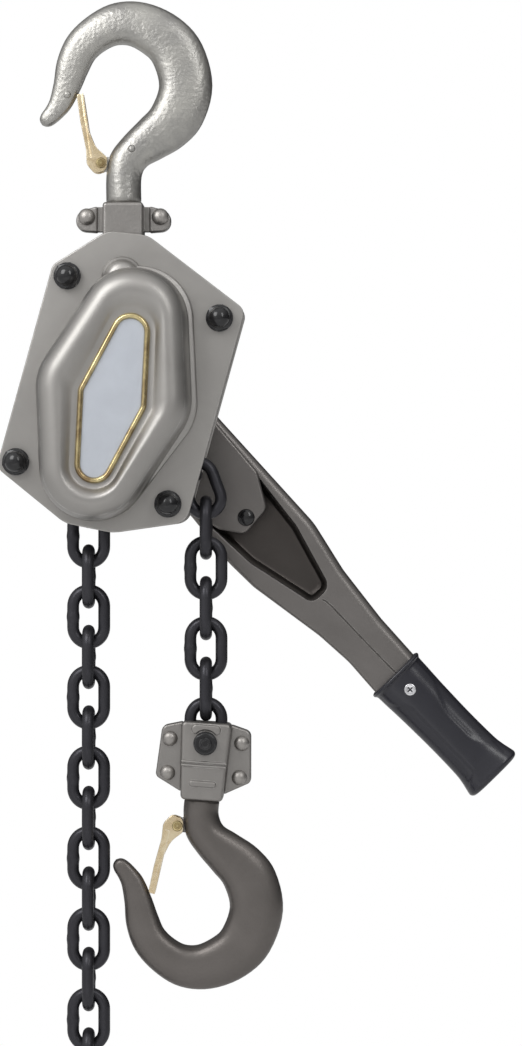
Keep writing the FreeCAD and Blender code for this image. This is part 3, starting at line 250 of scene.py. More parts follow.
def dress(obj, look, body, nodes, angle=32, flat=True):
    """Smooth shading, a finish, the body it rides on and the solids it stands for."""
    obj.data.shade_smooth()
    obj.data.set_sharp_from_angle(angle=math.radians(angle))
    if flat:
        obj.modifiers.new("flat faces stay flat", "WEIGHTED_NORMAL").keep_sharp = True
    obj.data.materials.clear()
    obj.data.materials.append(FINISHES[look])
    if nodes:
        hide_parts(*nodes)
    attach(obj, body)
    TRIANGLES[obj.name] = sum(len(p.vertices) - 2 for p in obj.data.polygons)


def piece(name, bm, where, look, body, nodes, **shading):
    """The drawn solid, moved to its place, as a dressed object."""
    bmesh.ops.remove_doubles(bm, verts=bm.verts, dist=MERGE)
    bm.transform(where)
    bmesh.ops.recalc_face_normals(bm, faces=bm.faces)
    dress(in_scene(name, as_mesh(name, bm)), look, body, nodes, **shading)


# %% [markdown]
# No real surface has one colour. Four effects return on nearly every finish of a hoist, so each is a node
# group with named inputs: the pebbled skin of a forging, broad smudges in paint, worn edges that also serve
# as a painted highlight along the edges, and the fine straight lines of brushed metal. They give only masks
# and heights, and each finish sets its own shader.

# %% Node helpers and the shared effects


def add(tree, kind, inputs=(), **settings):
    """A new node with its settings, its inputs given as values, as sockets or as nodes to link from."""
    node = tree.nodes.new(kind)
    for key, value in settings.items():
        setattr(node, key, value)
    for key, value in dict(inputs).items():
        if isinstance(value, bpy.types.Node):
            value = value.outputs[0]
        if isinstance(value, bpy.types.NodeSocket):
            tree.links.new(value, node.inputs[key])
        else:
            node.inputs[key].default_value = value
    return node


def calc(tree, operation, *values, **settings):
    return add(tree, "ShaderNodeMath", dict(enumerate(values)), operation=operation, **settings)


def mapped(tree, value, start, end, low=0.0, high=1.0, **settings):
    """A Map Range node from start..end to low..high."""
    return add(tree, "ShaderNodeMapRange", {"Value": value, "From Min": start, "From Max": end, "To Min": low,
                                            "To Max": high}, **settings)


def axes(tree):
    return add(tree, "ShaderNodeTexCoord").outputs["Object"]


def effect(name, inputs, output):
    """A shader group with named float inputs and one float output."""
    tree = bpy.data.node_groups.new(name, "ShaderNodeTree")
    for label, value in inputs.items():
        tree.interface.new_socket(label, in_out="INPUT", socket_type="NodeSocketFloat").default_value = value
    tree.interface.new_socket(output, in_out="OUTPUT", socket_type="NodeSocketFloat")
    return tree, tree.nodes.new("NodeGroupInput").outputs


def forged_skin():
    tree, given = effect("forged_skin", {"Scale": 300.0, "Softness": 0.5}, "Height")
    where = axes(tree)
    coarse = add(tree, "ShaderNodeTexNoise", {"Vector": where, "Scale": given["Scale"], "Detail": 4.0,
                                              "Roughness": given["Softness"]})
    cells = add(tree, "ShaderNodeTexVoronoi", {"Vector": where, "Scale": given["Scale"]}, feature="SMOOTH_F1")
    cells.inputs["Smoothness"].default_value = 0.8
    add(tree, "NodeGroupOutput", {0: calc(tree, "ADD", coarse, calc(tree, "MULTIPLY", cells, 0.6))})
    return tree


def smudges():
    tree, given = effect("smudges", {"Scale": 22.0, "Contrast": 1.0}, "Mask")
    noise = add(tree, "ShaderNodeTexNoise", {"Vector": axes(tree), "Scale": given["Scale"], "Detail": 5.0,
                                             "Roughness": 0.62, "Distortion": 0.6})
    centred = calc(tree, "SUBTRACT", noise, 0.5)
    spread = calc(tree, "MULTIPLY_ADD", centred, given["Contrast"], 0.5, use_clamp=True)
    add(tree, "NodeGroupOutput", {0: spread})
    return tree


# Edges lighter than the surface: partly real wear, partly a painted highlight where an edge catches light.
def worn_edges():
    tree, given = effect("worn_edges", {"Radius": 0.0012, "Amount": 1.0}, "Mask")
    soft = add(tree, "ShaderNodeBevel", {"Radius": given["Radius"]}, samples=4)
    plain = add(tree, "ShaderNodeNewGeometry").outputs["Normal"]
    angle = add(tree, "ShaderNodeVectorMath", {0: soft, 1: plain}, operation="DOT_PRODUCT").outputs["Value"]
    noise = add(tree, "ShaderNodeTexNoise", {"Vector": axes(tree), "Scale": 160.0, "Detail": 3.0})
    both = calc(tree, "MULTIPLY", mapped(tree, angle, 0.99, 0.86), mapped(tree, noise, 0.35, 0.62))
    add(tree, "NodeGroupOutput", {0: calc(tree, "MULTIPLY", both, given["Amount"], use_clamp=True)})
    return tree


def brushed_lines():
    tree, given = effect("brushed_lines", {"Scale": 60.0, "Stretch": 40.0}, "Height")
    turned = add(tree, "ShaderNodeVectorRotate", {"Vector": axes(tree), "Angle": math.radians(-FRAME_LEAN)},
                 rotation_type="Y_AXIS")
    apart = add(tree, "ShaderNodeSeparateXYZ", {"Vector": turned}).outputs
    across = calc(tree, "MULTIPLY", apart["X"], given["Stretch"])
    joined = add(tree, "ShaderNodeCombineXYZ", {"X": across, "Y": apart["Y"], "Z": apart["Z"]})
    add(tree, "NodeGroupOutput", {0: add(tree, "ShaderNodeTexNoise", {
        "Vector": joined, "Scale": given["Scale"], "Detail": 6.0})})
    return tree


EFFECTS = {tree.name: tree for tree in (forged_skin(), smudges(), worn_edges(), brushed_lines())}
print("effects", sorted(EFFECTS))

# %% [markdown]
# The finishes. Frame, cover and lever carry a warm grey metallic paint, darkened with painted shade in the
# lever's recess; both hooks and yokes are forged steel under the same paint, rougher on the top hook, with
# painted light on the top hook and painted shade on the bottom one; the chain and the nuts are blackened;
# latches are zinc plated with a yellow passivation; the name plate is brushed aluminium. Lighter edges are
# partly wear, partly painted highlight. A colour is written as the camera saw it.

# %% Finishes
# The colour of the painted shade that darkens the lever's recess.
PAINTED_RECESS_SHADE = (0.4, 0.38, 0.37, 1)


def new_material(name):
    material = bpy.data.materials.new(name)
    material.use_nodes = True
    tree = material.node_tree
    return material, tree, next(n for n in tree.nodes if n.type == "BSDF_PRINCIPLED")


def use(tree, name, **inputs):
    """One of the shared effects, placed in a material with its own values."""
    node = tree.nodes.new("ShaderNodeGroup")
    node.node_tree = EFFECTS[name]
    for key, value in inputs.items():
        node.inputs[key].default_value = value
    return node


def finish(name, light, dark, rough, metallic, scale=500.0, depth=0.00004, edge_wear_and_highlight=None, smudge=22.0,
           contrast=1.2, relief="forged_skin", painted_shade_depths=None, **sockets):
    """A metal or a plastic: two tones in smudges, a roughness range and a relief of a scale and a depth. Worn
    edges, partly painted highlight, are a colour and an amount; a recess gives the depths between which
    painted shade sets in."""
    material, tree, shader = new_material(name)

    def mixed(factor, under, over, blend="MIX"):
        return add(tree, "ShaderNodeMix", {"Factor": factor, "A": under, "B": over}, data_type="RGBA",
                   blend_type=blend).outputs["Result"]

    mask = use(tree, "smudges", Scale=smudge, Contrast=contrast)
    colour = mixed(mask, (*dark, 1), (*light, 1))
    # Lighter edges: worn paint and a painted highlight along them.
    if edge_wear_and_highlight:
        colour = mixed(use(tree, "worn_edges", Amount=edge_wear_and_highlight[3]), colour, (*edge_wear_and_highlight[:3], 1))
    # Painted shade: the colour darkens with depth along Y, into the lever's recess and towards its back.
    if painted_shade_depths:
        y = add(tree, "ShaderNodeSeparateXYZ", {"Vector": axes(tree)}).outputs["Y"]
        colour = mixed(mapped(tree, y, *painted_shade_depths), colour, PAINTED_RECESS_SHADE, "MULTIPLY")
    height = use(tree, relief, Scale=scale)
    bump = add(tree, "ShaderNodeBump", {"Height": height, "Distance": depth, "Strength": 1.0})
    tree.links.new(colour, shader.inputs["Base Color"])
    tree.links.new(mapped(tree, mask, 0.0, 1.0, *rough).outputs[0], shader.inputs["Roughness"])
    tree.links.new(bump.outputs[0], shader.inputs["Normal"])
    for key, value in {"Metallic": metallic, **sockets}.items():
        shader.inputs[key.replace("_", " ")].default_value = value
    FINISHES[name] = material


# Light edges of plates and cover: partly wear, partly painted highlight.
finish("frame_paint", (0.375, 0.363, 0.347), (0.3, 0.289, 0.276), (0.38, 0.48), 0.9, 900, 0.00003,
       (0.85, 0.84, 0.82, 0.7))
# The lever's paint darkens with depth from its face: painted shade in its recess.
finish("lever_paint", (0.195, 0.183, 0.175), (0.15, 0.141, 0.134), (0.34, 0.44), 0.85, 900, 0.00003,
       (0.7, 0.68, 0.65, 0.35), painted_shade_depths=(0.0515, 0.061))
# Painted light: the top hook's paint is written lighter, as the light falls strongest high on the hoist.
finish("hook_top_forging", (0.47, 0.46, 0.425), (0.25, 0.245, 0.24), (0.34, 0.46), 0.9, 380, 0.0003,
       (0.8, 0.79, 0.76, 0.3), smudge=16.0, contrast=1.8)
# Painted shade: the bottom hook's paint is written darker, as the light falls off towards the bottom.
finish("hook_bottom_forging", (0.165, 0.151, 0.142), (0.115, 0.105, 0.098), (0.34, 0.44), 0.8, 500, 0.00008,
       (0.5, 0.46, 0.42, 0.25))
finish("yoke_forging", (0.31, 0.297, 0.283), (0.225, 0.215, 0.205), (0.34, 0.46), 0.87, 500, 0.00012,
       (0.7, 0.68, 0.66, 0.5))
finish("rivet_steel", (0.38, 0.362, 0.343), (0.28, 0.267, 0.252), (0.36, 0.46), 0.87, 500, 0.0001)
finish("chain_steel", (0.05, 0.049, 0.056), (0.026, 0.026, 0.031), (0.28, 0.42), 0.7, 500, 0.00008,
       (0.25, 0.25, 0.27, 0.3))
# The lighter edges of the blackened nuts are a painted highlight.
finish("black_oxide", (0.009, 0.009, 0.01), (0.005, 0.005, 0.006), (0.2, 0.3), 0.0, 900, 0.00002,
       (0.12, 0.12, 0.125, 0.5), Coat_Weight=0.45, Coat_Roughness=0.05, Specular_IOR_Level=0.3)
finish("zinc_yellow", (0.72, 0.62, 0.43), (0.6, 0.46, 0.27), (0.2, 0.34), 0.95, 700, 0.00006,
       (0.95, 0.9, 0.8, 0.8), smudge=90.0, contrast=2.5)
finish("spring_steel", (0.4, 0.4, 0.4), (0.28, 0.28, 0.28), (0.25, 0.35), 0.9)
finish("gold_bead", (0.7, 0.6, 0.32), (0.3, 0.21, 0.11), (0.14, 0.26), 0.95, smudge=45.0, contrast=3.2)
finish("plaque_aluminium", (0.5, 0.53, 0.58), (0.44, 0.465, 0.51), (0.36, 0.46), 0.4, 60, 0.00006,
       smudge=60.0, relief="brushed_lines")
finish("bright_steel", (0.45, 0.45, 0.45), (0.33, 0.33, 0.33), (0.22, 0.32), 0.95)
finish("brake_lining", (0.06, 0.05, 0.045), (0.035, 0.03, 0.028), (0.7, 0.85), 0.0, smudge=300.0)
finish("grip_rubber", (0.011, 0.011, 0.019), (0.006, 0.006, 0.011), (0.24, 0.34), 0.0, 700, 0.00001,
       Coat_Weight=0.15, Coat_Roughness=0.2)
finish("screw_chrome", (0.8, 0.8, 0.82), (0.62, 0.62, 0.64), (0.12, 0.2), 1.0)
print("finishes", len(FINISHES))

# %% [markdown]
# The hooks are drop forged: one bar, bent round its saddle and thickest where the load pulls it open. A
# sculpted mesh would do, but a forging follows a rule, so it is a loft: stations along the hook's line, each
# with its width, its thickness and its lean. The section is a soft rectangle, a little thicker at the
# inside. Catmull-Rom values run smoothly through the stations, however many numbers a station holds.

# %% Hook
HOOK_LINE = [
    (0.1, -99.5, 13.3, 13.2, 0), (3.7, -87.2, 14.5, 13.3, -17), (14, -77.5, 16.2, 13.3, -31),
    (28.3, -66.5, 18.9, 13.5, -30), (40, -53.4, 20, 14, -18.7), (46.6, -31.1, 20.1, 14.5, 0),
    (40.5, -7.2, 19.8, 14.5, 21.5), (28.3, 6.5, 18.9, 14.5, 43.4), (11, 15, 17.1, 14, 69.4),
    (-5.9, 15.4, 15.7, 13.5, 93), (-20.3, 8.5, 14.2, 12.5, 118), (-32, -2.4, 13.3, 11, 142),
    (-38.6, -16.5, 12.4, 9.5, 159), (-42.4, -30.4, 10.5, 8, 168), (-47.5, -43.7, 8.6, 6.5, 157),
    (-52, -50.4, 7.3, 5.8, 150), (-56.8, -55.6, 6.3, 5.2, 145), (-59.6, -58.6, 4.7, 4.2, 142),
    (-60.9, -60, 2.5, 2.4, 140),
]
HOOK_TIP = (-61.4, 0, -60.6)
HOOK_HEAD = [(0.01, -20.2), (10.6, -20.2), (11.4, -19.4), (11.4, -11.6), (10.6, -10.8), (7.6, -10.8),
             (7.6, 0.0), (12.4, 0.0)]
HOOK_SIDES, HOOK_STEPS = 40, 5
ROUND_AT_NECK, ROUND_AT_TIP = 18, 8
DOT = [(0, -2), (2.9, -2), (2.9, 0.6), (2.5, 1.4), (1.5, 2.1), (0, 2.3)]
LATCH_PIVOT = (-16.8, -89.5)


def curve_through(stations, steps):
    """Catmull-Rom values between stations of any length."""
    values = []
    for i in range(len(stations) - 1):
        around_i = [stations[max(0, i - 1)], *stations[i:i + 2], stations[min(len(stations) - 1, i + 2)]]
        for t in [s / steps for s in range(steps)]:
            values.append(tuple(
                0.5 * (2 * b + (c - a) * t + (2 * a - 5 * b + 4 * c - d) * t * t
                       + (3 * b - a - 3 * c + d) * t ** 3) for a, b, c, d in zip(*around_i)))
    values.append(tuple(stations[-1]))
    return values


def squarer(value, power):
    """A cosine or sine pushed outwards, so that a circle nears a rectangle."""
    return math.copysign(abs(value) ** power, value)


def hook_mesh(shoulder, dots):
    """The hook with its saddle at the origin, its neck and head under the shoulder, and its latch lug."""
    bm = bmesh.new()
    rings = [ring_at(radius, shoulder + height, HOOK_SIDES) for radius, height in HOOK_HEAD]
    stations = curve_through([(0, shoulder + 1.2, 13.2, 13.2, 0)] + HOOK_LINE, HOOK_STEPS)
    for n, (x, z, wide, thick, turn) in enumerate(stations):
        body = min(1.0, n / ROUND_AT_NECK) * min(1.0, (len(stations) - 1 - n) / ROUND_AT_TIP)
        along = Vector((math.cos(math.radians(turn)), 0, math.sin(math.radians(turn))))
        ring = []
        for c, s in around(HOOK_SIDES):
            power = 1 - (0.34 if c > 0 else 0.22) * body
            deep = thick * (1 - 0.1 * body * c) * squarer(s, power)
            ring.append(Vector((x, 0, z)) + along * (wide * squarer(c, power)) + Vector((0, deep, 0)))
        rings.append(ring)
    fan(bm, skin(bm, rings)[-1], HOOK_TIP)
    x, z = LATCH_PIVOT
    slab(bm, belt([(x, z, 4.6), (-4, z - 2, 7)], steps=16), -3.7, 3.7, 1.0, 1.0)
    for dot in dots:
        count = len(bm.verts)
        revolve(bm, DOT, 20)
        bm.verts.ensure_lookup_table()
        bmesh.ops.transform(bm, matrix=Matrix.Translation(dot) @ TO_FRONT, verts=bm.verts[count:])
    return bm


piece("hook_above", hook_mesh(-119.0, [(-42.3, -6.6, -38.1), (6.5, -12.6, -79.4)]), UPRIGHT,
      "hook_top_forging", "upper_hook", ["top_hook"], angle=50, flat=False)
piece("hook_below", hook_mesh(-110.0, []), HOOK_BELOW, "hook_bottom_forging", "lower_hook", ["bottom_hook"],
      angle=50, flat=False)
print("hooks", TRIANGLES)

# %% [markdown]
# The safety latch is folded from sheet: two cheeks on a pin that narrow towards the hook's tip, and a web
# bent round their outer edges that closes the mouth. Cheeks are plates with rounded edges, the web is a loft
# of its folded section, and the pin's heads are turned, so they are solids of revolution.

# %% Latches and their pins
CHEEK = [(-18.4, 51.2, 1.6), (-14.8, 52.4, 1.6), (-12.6, 32.8, 30), (-4.2, 12.0, 18), (4.7, 4.2, 4.2),
         (4.0, -5.4, 4.2), (-4.6, -8.2, 5.5), (-10.9, -1.0, 5.5), (-11.3, 10, 12), (-15.6, 31, 40)]
FOLD = [(0, 4.4), (0.35, 5.7), (1.2, 6.6), (2.6, 7.1), (4.6, 7.1), (4.6, 5.5), (2.6, 5.5), (1.9, 5.1),
        (1.5, 4.4)]
SECTION = FOLD + [(d, -y) for d, y in reversed(FOLD)]
PIN_HEAD = [(1.1, 8.5), (1.5, 8.1), (2.1, 8.1), (2.5, 8.5), (3.5, 8.4), (4.0, 7.9), (4.0, 7.1), (2.3, 7.05)]


def latch_mesh():
    """Two cheeks measured from the pin, and the web between their outer edges, narrower at the tip."""
    bm = bmesh.new()
    x, z = LATCH_PIVOT
    cheek = rounded([(x + a, z + b, r) for a, b, r in CHEEK], 6)
    for y in (-7.0, 5.4):
        slab(bm, cheek, y, y + 1.6, 0.5, 0.5)
    foot, head = Vector((x - 10.4, z + 3.5)), Vector((x - 16.9, z + 51.8))
    inward = Vector((head.y - foot.y, foot.x - head.x)).normalized()
    rings = []
    for t in (0.0, 0.25, 0.5, 0.75, 1.0):
        at, in_x, in_z = foot.lerp(head, t), *(inward * (1 - 0.25 * t))
        rings.append([(at.x + in_x * d, y, at.y + in_z * d) for d, y in SECTION])
    capped(bm, rings)
    return bm


AT_PIN = Matrix.Translation((LATCH_PIVOT[0], 0, LATCH_PIVOT[1])) @ TO_FRONT
PIN = [(0, -8.5)] + [(r, -h) for r, h in PIN_HEAD] + PIN_HEAD[::-1] + [(0, 8.5)]
for side, level, where in (("top", "upper", UPRIGHT), ("bottom", "lower", HOOK_BELOW)):
    piece(f"{side}_latch_sheet", latch_mesh(), where, "zinc_yellow", f"{level}_latch", [f"{side}_latch"])
    piece(f"{side}_latch_rivet", solid(revolve, PIN, 28, at=AT_PIN), where, "gold_bead", f"{level}_hook",
          [f"{side}_latch_pin"])
print("latches", TRIANGLES["top_latch_sheet"])

# %% [markdown]
# The side plates are stamped. Their bright line of light is the rounded edge of the cut, so the edge is
# modelled. Each has holes for the stays, the top pin, the drive's bearing and the chain guide's tenon.

# %% Side plates
PLATE = [(-70.5, -76, 9), (-10, -102.5, 24), (26, -100, 24), (77.5, -77.5, 12), (77.5, 87, 9),
         (-8, 121.5, 22), (-38, 116.5, 20), (-70.5, 81, 9)]
STAYS = [(-57.5, 76), (60.5, 76), (-57.5, -68), (60.5, -68)]
TOP_PIN = (-17.6, 86)
FACE, THICK = -23.5, 4.0


def plate_mesh(y0, own_holes):
    c, s = math.cos(math.radians(FRAME_LEAN)), math.sin(math.radians(FRAME_LEAN))
    tenon = (7.5 * c + 62 * s, -62 * c + 7.5 * s, 5)
    holes = [(x, z, 6.05) for x, z in STAYS] + [(*TOP_PIN, 7.05), (0, 0, 27, 48), tenon] + own_holes
    return solid(slab, rounded(PLATE, 10), y0, y0 + THICK, 0.9, 0.9, [circle(*hole) for hole in holes])


for side, y0, own_holes in (("gear", FACE, [(0, 42, 7.05), (0, -42, 7.05)]),
                            ("lever", 19.5, [(-44, 14, 4), (44, -14, 4)])):
    piece(f"{side}_side_plate", plate_mesh(y0, own_holes), IN_FRAME, "frame_paint", "frame",
          [f"side_plate_{side}_side"])
print("plates", TRIANGLES["gear_side_plate"])

# %% [markdown]
# The gear cover is deep drawn sheet: a flat foot, a wall, a broad rolled ridge and a floor round the name
# plate, with a small blister beside it over the top pin's head. It is skinned from rings that keep the same
# points all the way from its foot to its floor, so the roll runs evenly round the ends and the waist. A
# subdivision of a box would lose the true waist.

# %% Gear cover
COVER = [(16, 0, 42), (0, 56, 40), (-16, 0, 42), (0, -56, 40)]
FOOT = [(21, 0, 42), (3, 58, 41), (-16, 0, 42.8), (0, -56, 40.8)]
NAME_PLATE = [(17.3, -3.5, 6), (1.5, 46.7, 10.4), (-14.3, -3.5, 6), (1.5, -53.7, 10.4)]
FLANGE = [(0, 0), (0, 3.2), (0.08, 4.1), (0.25, 4.7), (0.5, 5.0), (0.85, 5.2)]
WALL = [(0.4, 5.6), (0.1, 6.6), (0, 8), (-0.1, 15), (-0.3, 22), (-0.9, 28), (-2.3, 32.5), (-4.8, 36.6),
        (-8, 39.6), (-11.5, 41.4)]
ROLL = [(0, 42), (0.18, 41.8), (0.36, 41.0), (0.56, 39.5), (0.76, 37.7), (0.9, 36.5), (1, 36.05)]
BLISTER = [(0, 0), (15.4, 0), (15.4, 2.6), (15.0, 3.8), (14.2, 4.6), (13.2, 5.2), (12.6, 6.2), (12.3, 7.6),
           (11.8, 9.4), (10.5, 11.5), (8.4, 12.9), (5.6, 13.6), (2.6, 13.9), (0, 14)]


def fine(circles, grow):
    return belt(circles, grow, 20, 8)


def raised(outline, h):
    """An outline at a height over the plate's face."""
    return [(x, FACE - h, z) for x, z in outline]


def between(one, other, t, h):
    """A ring part of the way from one outline to another, at a height over the plate's face."""
    return raised([(a[0] + (b[0] - a[0]) * t, a[1] + (b[1] - a[1]) * t) for a, b in zip(one, other)], h)


def cover_rings():
    """Rings up the outside from foot to floor, and back down the inside."""
    rings = [between(fine(FOOT, 0), fine(COVER, 0.6), t, h) for t, h in FLANGE]
    rings += [raised(fine(COVER, grow), h) for grow, h in WALL]
    rings += [between(fine(COVER, -15), fine(NAME_PLATE, 7.6), t, h) for t, h in ROLL]
    rings += [raised(fine(NAME_PLATE, grow), h) for grow, h in ((3.6, 36), (3.6, 34), (-2, 34))]
    rings += [raised(fine(COVER, -3.5), h) for h in (34, 1, 0)]
    return rings + [rings[0]]


piece("cover_pressing", solid(skin, cover_rings()), IN_FRAME, "frame_paint", "frame", ["gear_cover"],
      angle=60, flat=False)
over_pin = Matrix.Translation((TOP_PIN[0], FACE, TOP_PIN[1])) @ TO_FRONT
piece("cover_blister", solid(revolve, BLISTER, 56, at=over_pin), IN_FRAME, "frame_paint", "frame", [],
      angle=60, flat=False)
print("cover", TRIANGLES["cover_pressing"])

# %% [markdown]
# The name plate lies in a rolled bead of yellow zinc. The bead is a half round bent along the outline; the
# plate is thin brushed sheet, and it is left bare.

# %% Name plate and its bead
BEAD = [(0.0, 35.6), (0.0, 37.4), (0.3, 38.5), (0.95, 39.4), (1.85, 39.8), (2.75, 39.6), (3.6, 38.8),
        (4.15, 37.6), (4.3, 36.4), (4.3, 35.6), (0.0, 35.6)]
bead_rings = [raised(belt(NAME_PLATE, grow, 16, 6), h) for grow, h in BEAD]
piece("name_plate_bead", solid(skin, bead_rings), IN_FRAME, "gold_bead", "frame", ["plaque_bead"], angle=50,
      flat=False)
piece("name_plate", solid(slab, belt(NAME_PLATE, -0.05, 16, 6), FACE - 37, FACE - 36, 0.2), IN_FRAME,
      "plaque_aluminium", "frame", ["plaque"])

# %% [markdown]
# Nuts and rivets repeat, so each is drawn once and Geometry Nodes set the copies: points carry where a copy
# goes and how it turns. The copies are realised into one plain mesh, because an export can't carry instances.

# %% Copies at points


def geometry_tree(name, sockets):
    """A geometry tree with Geometry, the named inputs and Finish, and what its group input gives."""
    tree = bpy.data.node_groups.new(name, "GeometryNodeTree")
    for label, kind, value in [("Geometry", "Geometry", None), *sockets, ("Finish", "Material", None)]:
        socket = tree.interface.new_socket(label, in_out="INPUT", socket_type="NodeSocket" + kind)
        if value is not None:
            socket.default_value = value
    tree.interface.new_socket("Geometry", in_out="OUTPUT", socket_type="NodeSocketGeometry")
    return tree, add(tree, "NodeGroupInput").outputs


def realise(tree, given, shape):
    """Instances of a shape at points that carry their turn, realised and given the finish."""
    turn = add(tree, "GeometryNodeInputNamedAttribute", {"Name": "turn"}, data_type="FLOAT_VECTOR")
    copies = add(tree, "GeometryNodeInstanceOnPoints", {"Points": given["Geometry"], "Instance": shape,
                                                        "Rotation": turn.outputs["Attribute"]})
    real = add(tree, "GeometryNodeRealizeInstances", {"Geometry": copies})
    coloured = add(tree, "GeometryNodeSetMaterial", {"Geometry": real, "Material": given["Finish"]})
    add(tree, "NodeGroupOutput", {"Geometry": coloured})
    return tree


def copies_tree():
    tree, given = geometry_tree("copies_at_points", [("Original", "Object", None), ("Size", "Float", 1.0)])
    pattern = add(tree, "GeometryNodeObjectInfo", {"Object": given["Original"]}, transform_space="ORIGINAL")
    sized = add(tree, "GeometryNodeTransform", {"Geometry": pattern.outputs["Geometry"],
                                                "Scale": given["Size"]})
    return realise(tree, given, sized)


def run_tree(name, tree, spots, inputs, look, body, nodes, **shading):
    """The tree run on spots (matrices of place and turn), kept as one plain dressed mesh."""
    cloud = bpy.data.meshes.new(name + "_points")
    cloud.from_pydata([tuple(m.translation) for m in spots], [], [])
    turns = cloud.attributes.new("turn", "FLOAT_VECTOR", "POINT")
    for item, m in zip(turns.data, spots):
        item.vector = tuple(m.to_euler())
    holder = in_scene(name + "_points", cloud)
    modifier = holder.modifiers.new(tree.name, "NODES")
    modifier.node_group = tree
    values = dict(inputs, Finish=FINISHES[look])
    for item in tree.interface.items_tree:
        if item.in_out == "INPUT" and item.name in values:
            modifier[item.identifier] = values[item.name]
    evaluated = holder.evaluated_get(bpy.context.evaluated_depsgraph_get())
    mesh = bpy.data.meshes.new_from_object(evaluated)
    bpy.data.objects.remove(holder)
    dress(in_scene(name, mesh), look, body, nodes, **shading)


def original(name, bm):
    """A drawn solid in metres that only serves as the pattern for copies."""
    bmesh.ops.remove_doubles(bm, verts=bm.verts, dist=MERGE)
    bmesh.ops.recalc_face_normals(bm, faces=bm.faces)
    bm.transform(Matrix.Scale(MM, 4))
    return bpy.data.objects.new(name, as_mesh(name, bm))


def both_sides(carrier, places, front, back):
    """Spots at each (x, z) of a carrier, facing the front at one depth and the back at another."""
    spots = []
    for x, z in places:
        for y, facing in ((front, TO_FRONT), (back, TO_BACK)):
            whole = carrier @ Matrix.Translation((x, y, z)) @ facing
            spots.append(Matrix.Translation(whole.translation) @ whole.to_3x3().normalized().to_4x4())
    return spots


COPIES = copies_tree()
print("inputs for copies", [item.name for item in COPIES.interface.items_tree])

# %% [markdown]
# A cap nut is a washer, a hexagon whose corners are turned off by a cone, and a dome. The hexagon is a ring
# whose radius follows the flats, so the cone's curved line across each flat comes out by itself.

# %% Cap nuts, rivets and bolt heads
HEX_STEPS = 72
WASHER = [(0, 0), (10.0, 0), (10.2, 0.3), (10.2, 1.3), (9.9, 1.6), (0, 1.6)]
TOP_RIVETS = [(-27.6, -130), (27.6, -130)]
BLOCK_RIVETS = [(x, z) for x in (-27, 27) for z in (1.4, -24.4)]
LEVER_BOLTS = [(133.4, 4.9), (-38, 0)]


def hexagon_rings(apothem, low, high, cone):
    """Rings of a hexagon prism whose upper corners are turned off by a cone."""
    rings = [[], [], []]
    top = apothem - cone * 0.4
    for k in range(HEX_STEPS):
        turn = math.tau * k / HEX_STEPS
        radius = min(apothem / math.cos((turn + math.pi / 6) % (math.pi / 3) - math.pi / 6), apothem * 1.135)
        corner = min(high, high - (radius - top) * 0.62)
        for ring, (r, h) in zip(rings, ((radius, low), (radius, corner), (top, high))):
            ring.append((r * math.cos(turn), r * math.sin(turn), h))
    return rings


def cap_nut():
    bm = bmesh.new()
    revolve(bm, WASHER)
    dome = [(8.1, 8.2), (7.9, 8.7)]
    dome += [(7.9 * math.cos(t), 8.7 + 6.6 * math.sin(t)) for t in quarter(12)[1:-1]]
    capped(bm, hexagon_rings(9.0, 1.6, 8.1, 1.4) + [ring_at(*point, HEX_STEPS) for point in dome])
    return original("cap_nut", bm)


def round_head(radius, height):
    """A rivet's head that stands on its face, with a little of its shank below."""
    dome = [(radius * math.cos(t), height * math.sin(t)) for t in quarter(9)[:-1]]
    return original("round_head", solid(revolve, [(0, -0.6), (radius * 0.98, -0.6), *dome, (0, height)], 36))


CAP_NUT, RIVET, BOLT_HEAD = cap_nut(), round_head(6.4, 5.2), round_head(6.6, 3.6)
HEADS = [
    ("cap_nuts", CAP_NUT, 1.0, (IN_FRAME, STAYS, FACE, -FACE), "black_oxide", "frame", "domed_nuts"),
    ("top_yoke_rivet_heads", RIVET, 1.0, (UPRIGHT, TOP_RIVETS, -6, 6), "rivet_steel", "upper_yoke",
     "top_yoke_rivets"),
    ("bottom_yoke_rivet_heads", RIVET, 0.9, (IN_BLOCK, BLOCK_RIVETS, -7, 7), "rivet_steel", "lower_block",
     "bottom_yoke_rivets"),
    ("lever_bolt_heads", BOLT_HEAD, 1.0, (ON_LEVER, LEVER_BOLTS, 47.5, 71.5), "black_oxide", "lever",
     "lever_bolts"),
]
for name, pattern, size, spots, look, body, node in HEADS:
    run_tree(name, COPIES, both_sides(*spots), {"Original": pattern, "Size": size}, look, body, [node],
             flat=pattern is CAP_NUT)
print("heads", TRIANGLES["cap_nuts"], TRIANGLES["bottom_yoke_rivet_heads"])

# %% [markdown]
# A load chain is one link over and over, each turned a quarter against the last. The tree draws a link from
# its real sizes (wire, inner width, pitch): a rounded rectangle swept by a circle, a little thicker at the
# weld. Each run of links that hinges on the next is a mesh of its own, on its own body.

# %% Chain tree
HINGE_STAND, HINGE_CROSS = 9.3, 21.0


